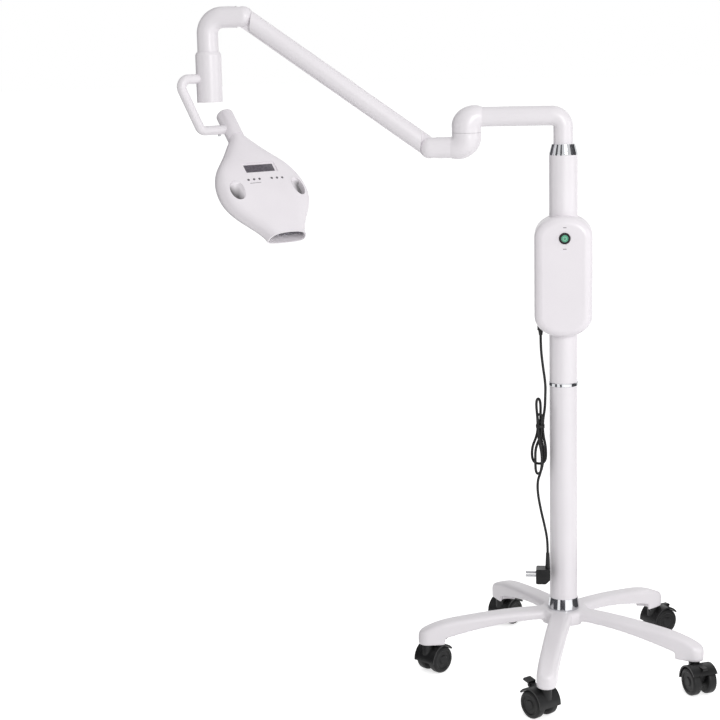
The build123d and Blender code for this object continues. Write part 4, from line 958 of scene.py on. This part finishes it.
class LAMP_OT_arm(bpy.types.Operator):
    """Finishes the arm's tubes, swivels, pins and spring"""

    bl_idname = "lamp.arm"
    bl_label = "Arm"

    def set_screw(self):
        """The small screw that holds the yoke, under its lower end."""
        place = Matrix.Translation(SLEEVE_AXIS + HEAD_ACROSS * SET_SCREW_ALONG)
        profile = [
            (0.0, SET_SCREW_FOOT),
            (SET_SCREW_RADIUS - SET_SCREW_SOFTNESS, SET_SCREW_FOOT),
            (SET_SCREW_RADIUS, SET_SCREW_FOOT + SET_SCREW_SOFTNESS),
            (SET_SCREW_RADIUS, SET_SCREW_TOP),
            (0.0, SET_SCREW_TOP),
        ]
        mesh = mesh_from("set_screw", lathe(profile, SMALL_SIDES, place))
        placed("set_screw", mesh, "sleeve", "steel", zinc_plate())

    def execute(self, context):
        dress(tube_enamel(), "upper_knuckle", "lower_knuckle", "spring_arm")
        dress(tube_enamel(), "end_elbow", "swivel_sleeve", "yoke")
        self.set_screw()
        dress(zinc_plate(), "knuckle_pin", "lower_hinge_pin", "upper_hinge_pin", "swivel_pin")
        dress(zinc_plate(), "arm_spring", "tie_rod")
        return {"FINISHED"}


class LAMP_OT_head(bpy.types.Operator):
    """Finishes the head, its display, keys, lamps and lens"""

    bl_idname = "lamp.head"
    bl_label = "Head"

    def grip(self, side, name, face):
        """A scoop in a finger grip: flush at its top and inner edges, deep beside its outer wall."""
        centre = side * GRIP_ACROSS
        work = bmesh.new()
        rows = []
        for ring in range(GRIP_RINGS + 1):
            reach = ring / GRIP_RINGS
            row = []
            for spoke in range(GRIP_SPOKES if ring else 1):
                turn = math.tau * spoke / GRIP_SPOKES
                outward = reach * math.cos(turn)
                downward = reach * math.sin(turn)
                chord = math.sqrt(max(1.0 - downward * downward, CHORD_LEAST * CHORD_LEAST))
                down = GRIP_DOWN + GRIP_HALF_LENGTH * downward * FEELER_SHARE
                edge = (GRIP_HALF_WIDTH + GRIP_MARGIN) * chord + GRIP_MARGIN
                inner = face(centre - side * edge, down)
                outer = face(centre + side * edge, down)
                flush = inner + (outer - inner) * (1.0 + outward / chord) / 2.0 - GRIP_SKIN
                rising = smooth_step((SLOPE_START - outward) / SLOPE_RUN) ** SLOPE_CURL
                upper = smooth_step((UPPER_START - downward) / UPPER_RUN)
                share = 1.0 - (1.0 - rising) * (1.0 - upper)
                lowest = GRIP_FLOOR + GRIP_SKIN
                height = lowest + (flush - lowest) * share
                flare = (height - GRIP_FLOOR) * GRIP_FLARE
                corner = on_head(
                    centre + side * (GRIP_HALF_WIDTH + flare) * outward,
                    GRIP_DOWN + (GRIP_HALF_LENGTH + flare) * downward,
                    height,
                )
                row.append(work.verts.new(corner))
            rows.append(row)
        rows.append([work.verts.new(vertex.co - HEAD_OUT * GRIP_SKIN) for vertex in rows[-1]])
        for near, far in zip(rows, rows[1:]):
            band(work, near, far)
        work.faces.new(rows[-1])
        # The scoop's finish carries painted shade, darkest at its floor
        placed(name, mesh_from(name, work), "head", "white_plastic", grip_moulding())

    def key_line(self, values, face):
        """The thin printed line under the left three keys, laid on the face."""
        low, high = KEY_LINE_DOWN, KEY_LINE_DOWN + KEY_LINE_WIDTH
        work = bmesh.new()
        rows = []
        for step in range(KEY_LINE_STEPS + 1):
            across = KEY_PLACES[0] + (KEY_PLACES[2] - KEY_PLACES[0]) * step / KEY_LINE_STEPS
            row = []
            for down, side in ((low, -1.0), (low, 1.0), (high, 1.0), (high, -1.0)):
                corner = on_head(across, down, face(across, down) + values.mark_rise * side)
                row.append(work.verts.new(corner))
            rows.append(row)
        for near, far in zip(rows, rows[1:]):
            band(work, near, far)
        work.faces.new(rows[0])
        work.faces.new(reversed(rows[-1]))
        placed("key_line", mesh_from("key_line", work), "head", "white_plastic", print_ink())

    def execute(self, context):
        dress(white_moulding(), "head_front_shell", "head_back_shell")
        dress(dark_window(), "display_window")
        dress(circuit_board(), "control_board")
        dress(light_board(), "led_board")
        dress(clear_pane(), "outlet_lens")
        dress(extruded_aluminium(), "heat_sink")
        dress(zinc_plate(), "head_screws")
        for number in range(1, len(KEY_PLACES) + 1):
            dress(key_rubber(), f"key_{number}")
        face = face_finder()
        self.grip(-1.0, "grip_scoop_left", face)
        self.grip(1.0, "grip_scoop_right", face)
        self.key_line(context.scene.lamp_trim, face)
        return {"FINISHED"}


# Stage
class LAMP_OT_stage(bpy.types.Operator):
    """Makes the pale floor, the white backdrop and the soft lamps"""

    bl_idname = "lamp.stage"
    bl_label = "Stage"

    def lamp(self, context, name, power, size, place, target):
        """One soft lamp, turned towards its target."""
        light = bpy.data.lights.new(name, "AREA")
        light.shape = "RECTANGLE"
        light.size, light.size_y = size
        light.energy = power
        lamp = bpy.data.objects.new(name, light)
        lamp.location = place
        lamp.rotation_euler = (Vector(target) - Vector(place)).to_track_quat("-Z", "Y").to_euler()
        context.scene.collection.objects.link(lamp)

    def floor(self, context, values):
        """The pale floor that the lamp stands on."""
        work = bmesh.new()
        bmesh.ops.create_circle(work, cap_ends=True, segments=FLOOR_SIDES, radius=values.floor_size)
        mesh = mesh_from("floor", work)
        mesh.materials.append(pale_floor(values.floor_colour, values.floor_glow))
        floor = bpy.data.objects.new("floor", mesh)
        context.scene.collection.objects.link(floor)

    def flags(self, context):
        """Dark cards that only show as stripes in the bright plate."""
        work = bmesh.new()
        for reach, high, turns in FLAGS:
            for start, stop in turns:
                corners = []
                for degrees, height in ((start, 0.0), (stop, 0.0), (stop, high), (start, high)):
                    turn = math.radians(degrees)
                    corner = (reach * math.sin(turn), -reach * math.cos(turn), height)
                    corners.append(work.verts.new(corner))
                work.faces.new(corners)
        mesh = mesh_from("dark_flags", work)
        mesh.materials.append(dark_card())
        cards = bpy.data.objects.new("dark_flags", mesh)
        cards.visible_camera = False
        cards.visible_diffuse = False
        cards.visible_shadow = False
        cards.visible_transmission = False
        context.scene.collection.objects.link(cards)

    def room(self, context, values):
        """Even light from all round, which shows as white."""
        world = bpy.data.worlds.new("studio")
        world.use_nodes = True
        context.scene.world = world
        tree = world.node_tree
        backdrop = tree.nodes["Background"]
        backdrop.inputs["Color"].default_value = WHITE
        seen = any_ray(tree, "Is Camera Ray", "Is Glossy Ray", "Is Transmission Ray")
        level = spread(tree, seen, values.room_level, 1.0, start=0.0, stop=1.0)
        tree.links.new(level, backdrop.inputs["Strength"])

    def execute(self, context):
        values = context.scene.lamp_stage
        context.scene.view_settings.view_transform = "Standard"
        self.floor(context, values)
        self.room(context, values)
        self.flags(context)
        for name, (power, size, place, target) in LAMPS.items():
            self.lamp(context, name, getattr(values, power), size, place, target)
        return {"FINISHED"}


class LAMP_PT_panel(bpy.types.Panel):
    """Lists the lamp's values and its making, in order"""

    bl_label = "Teeth whitening lamp"
    bl_idname = "LAMP_PT_panel"
    bl_space_type = "VIEW_3D"
    bl_region_type = "UI"
    bl_category = TAB

    def draw(self, context):
        for group in GROUPS:
            box = self.layout.box()
            values = getattr(context.scene, group)
            for name in values.bl_rna.properties.keys():
                if name not in ("rna_type", "name"):
                    box.prop(values, name)
        for step in STEPS:
            self.layout.operator(step.bl_idname)


GROUPS = {
    "lamp_camera": LampCameraValues,
    "lamp_stage": LampStageValues,
    "lamp_finish": LampFinishValues,
    "lamp_trim": LampTrimValues,
}
STEPS = (
    LAMP_OT_camera,
    LAMP_OT_lead,
    LAMP_OT_stand,
    LAMP_OT_casters,
    LAMP_OT_box,
    LAMP_OT_arm,
    LAMP_OT_head,
    LAMP_OT_stage,
)


def register():
    """Registers the values, the steps and the panel."""
    for kind in (*GROUPS.values(), *STEPS, LAMP_PT_panel):
        bpy.utils.register_class(kind)
    for name, kind in GROUPS.items():
        setattr(bpy.types.Scene, name, bpy.props.PointerProperty(type=kind))


def unregister():
    """Takes back what register did."""
    for name in GROUPS:
        delattr(bpy.types.Scene, name)
    for kind in reversed((*GROUPS.values(), *STEPS, LAMP_PT_panel)):
        bpy.utils.unregister_class(kind)


def main():
    """Makes the whole scene, in order."""
    register()
    for step in STEPS:
        getattr(bpy.ops.lamp, step.bl_idname.split(".")[1])()


if __name__ == "__main__":
    main()
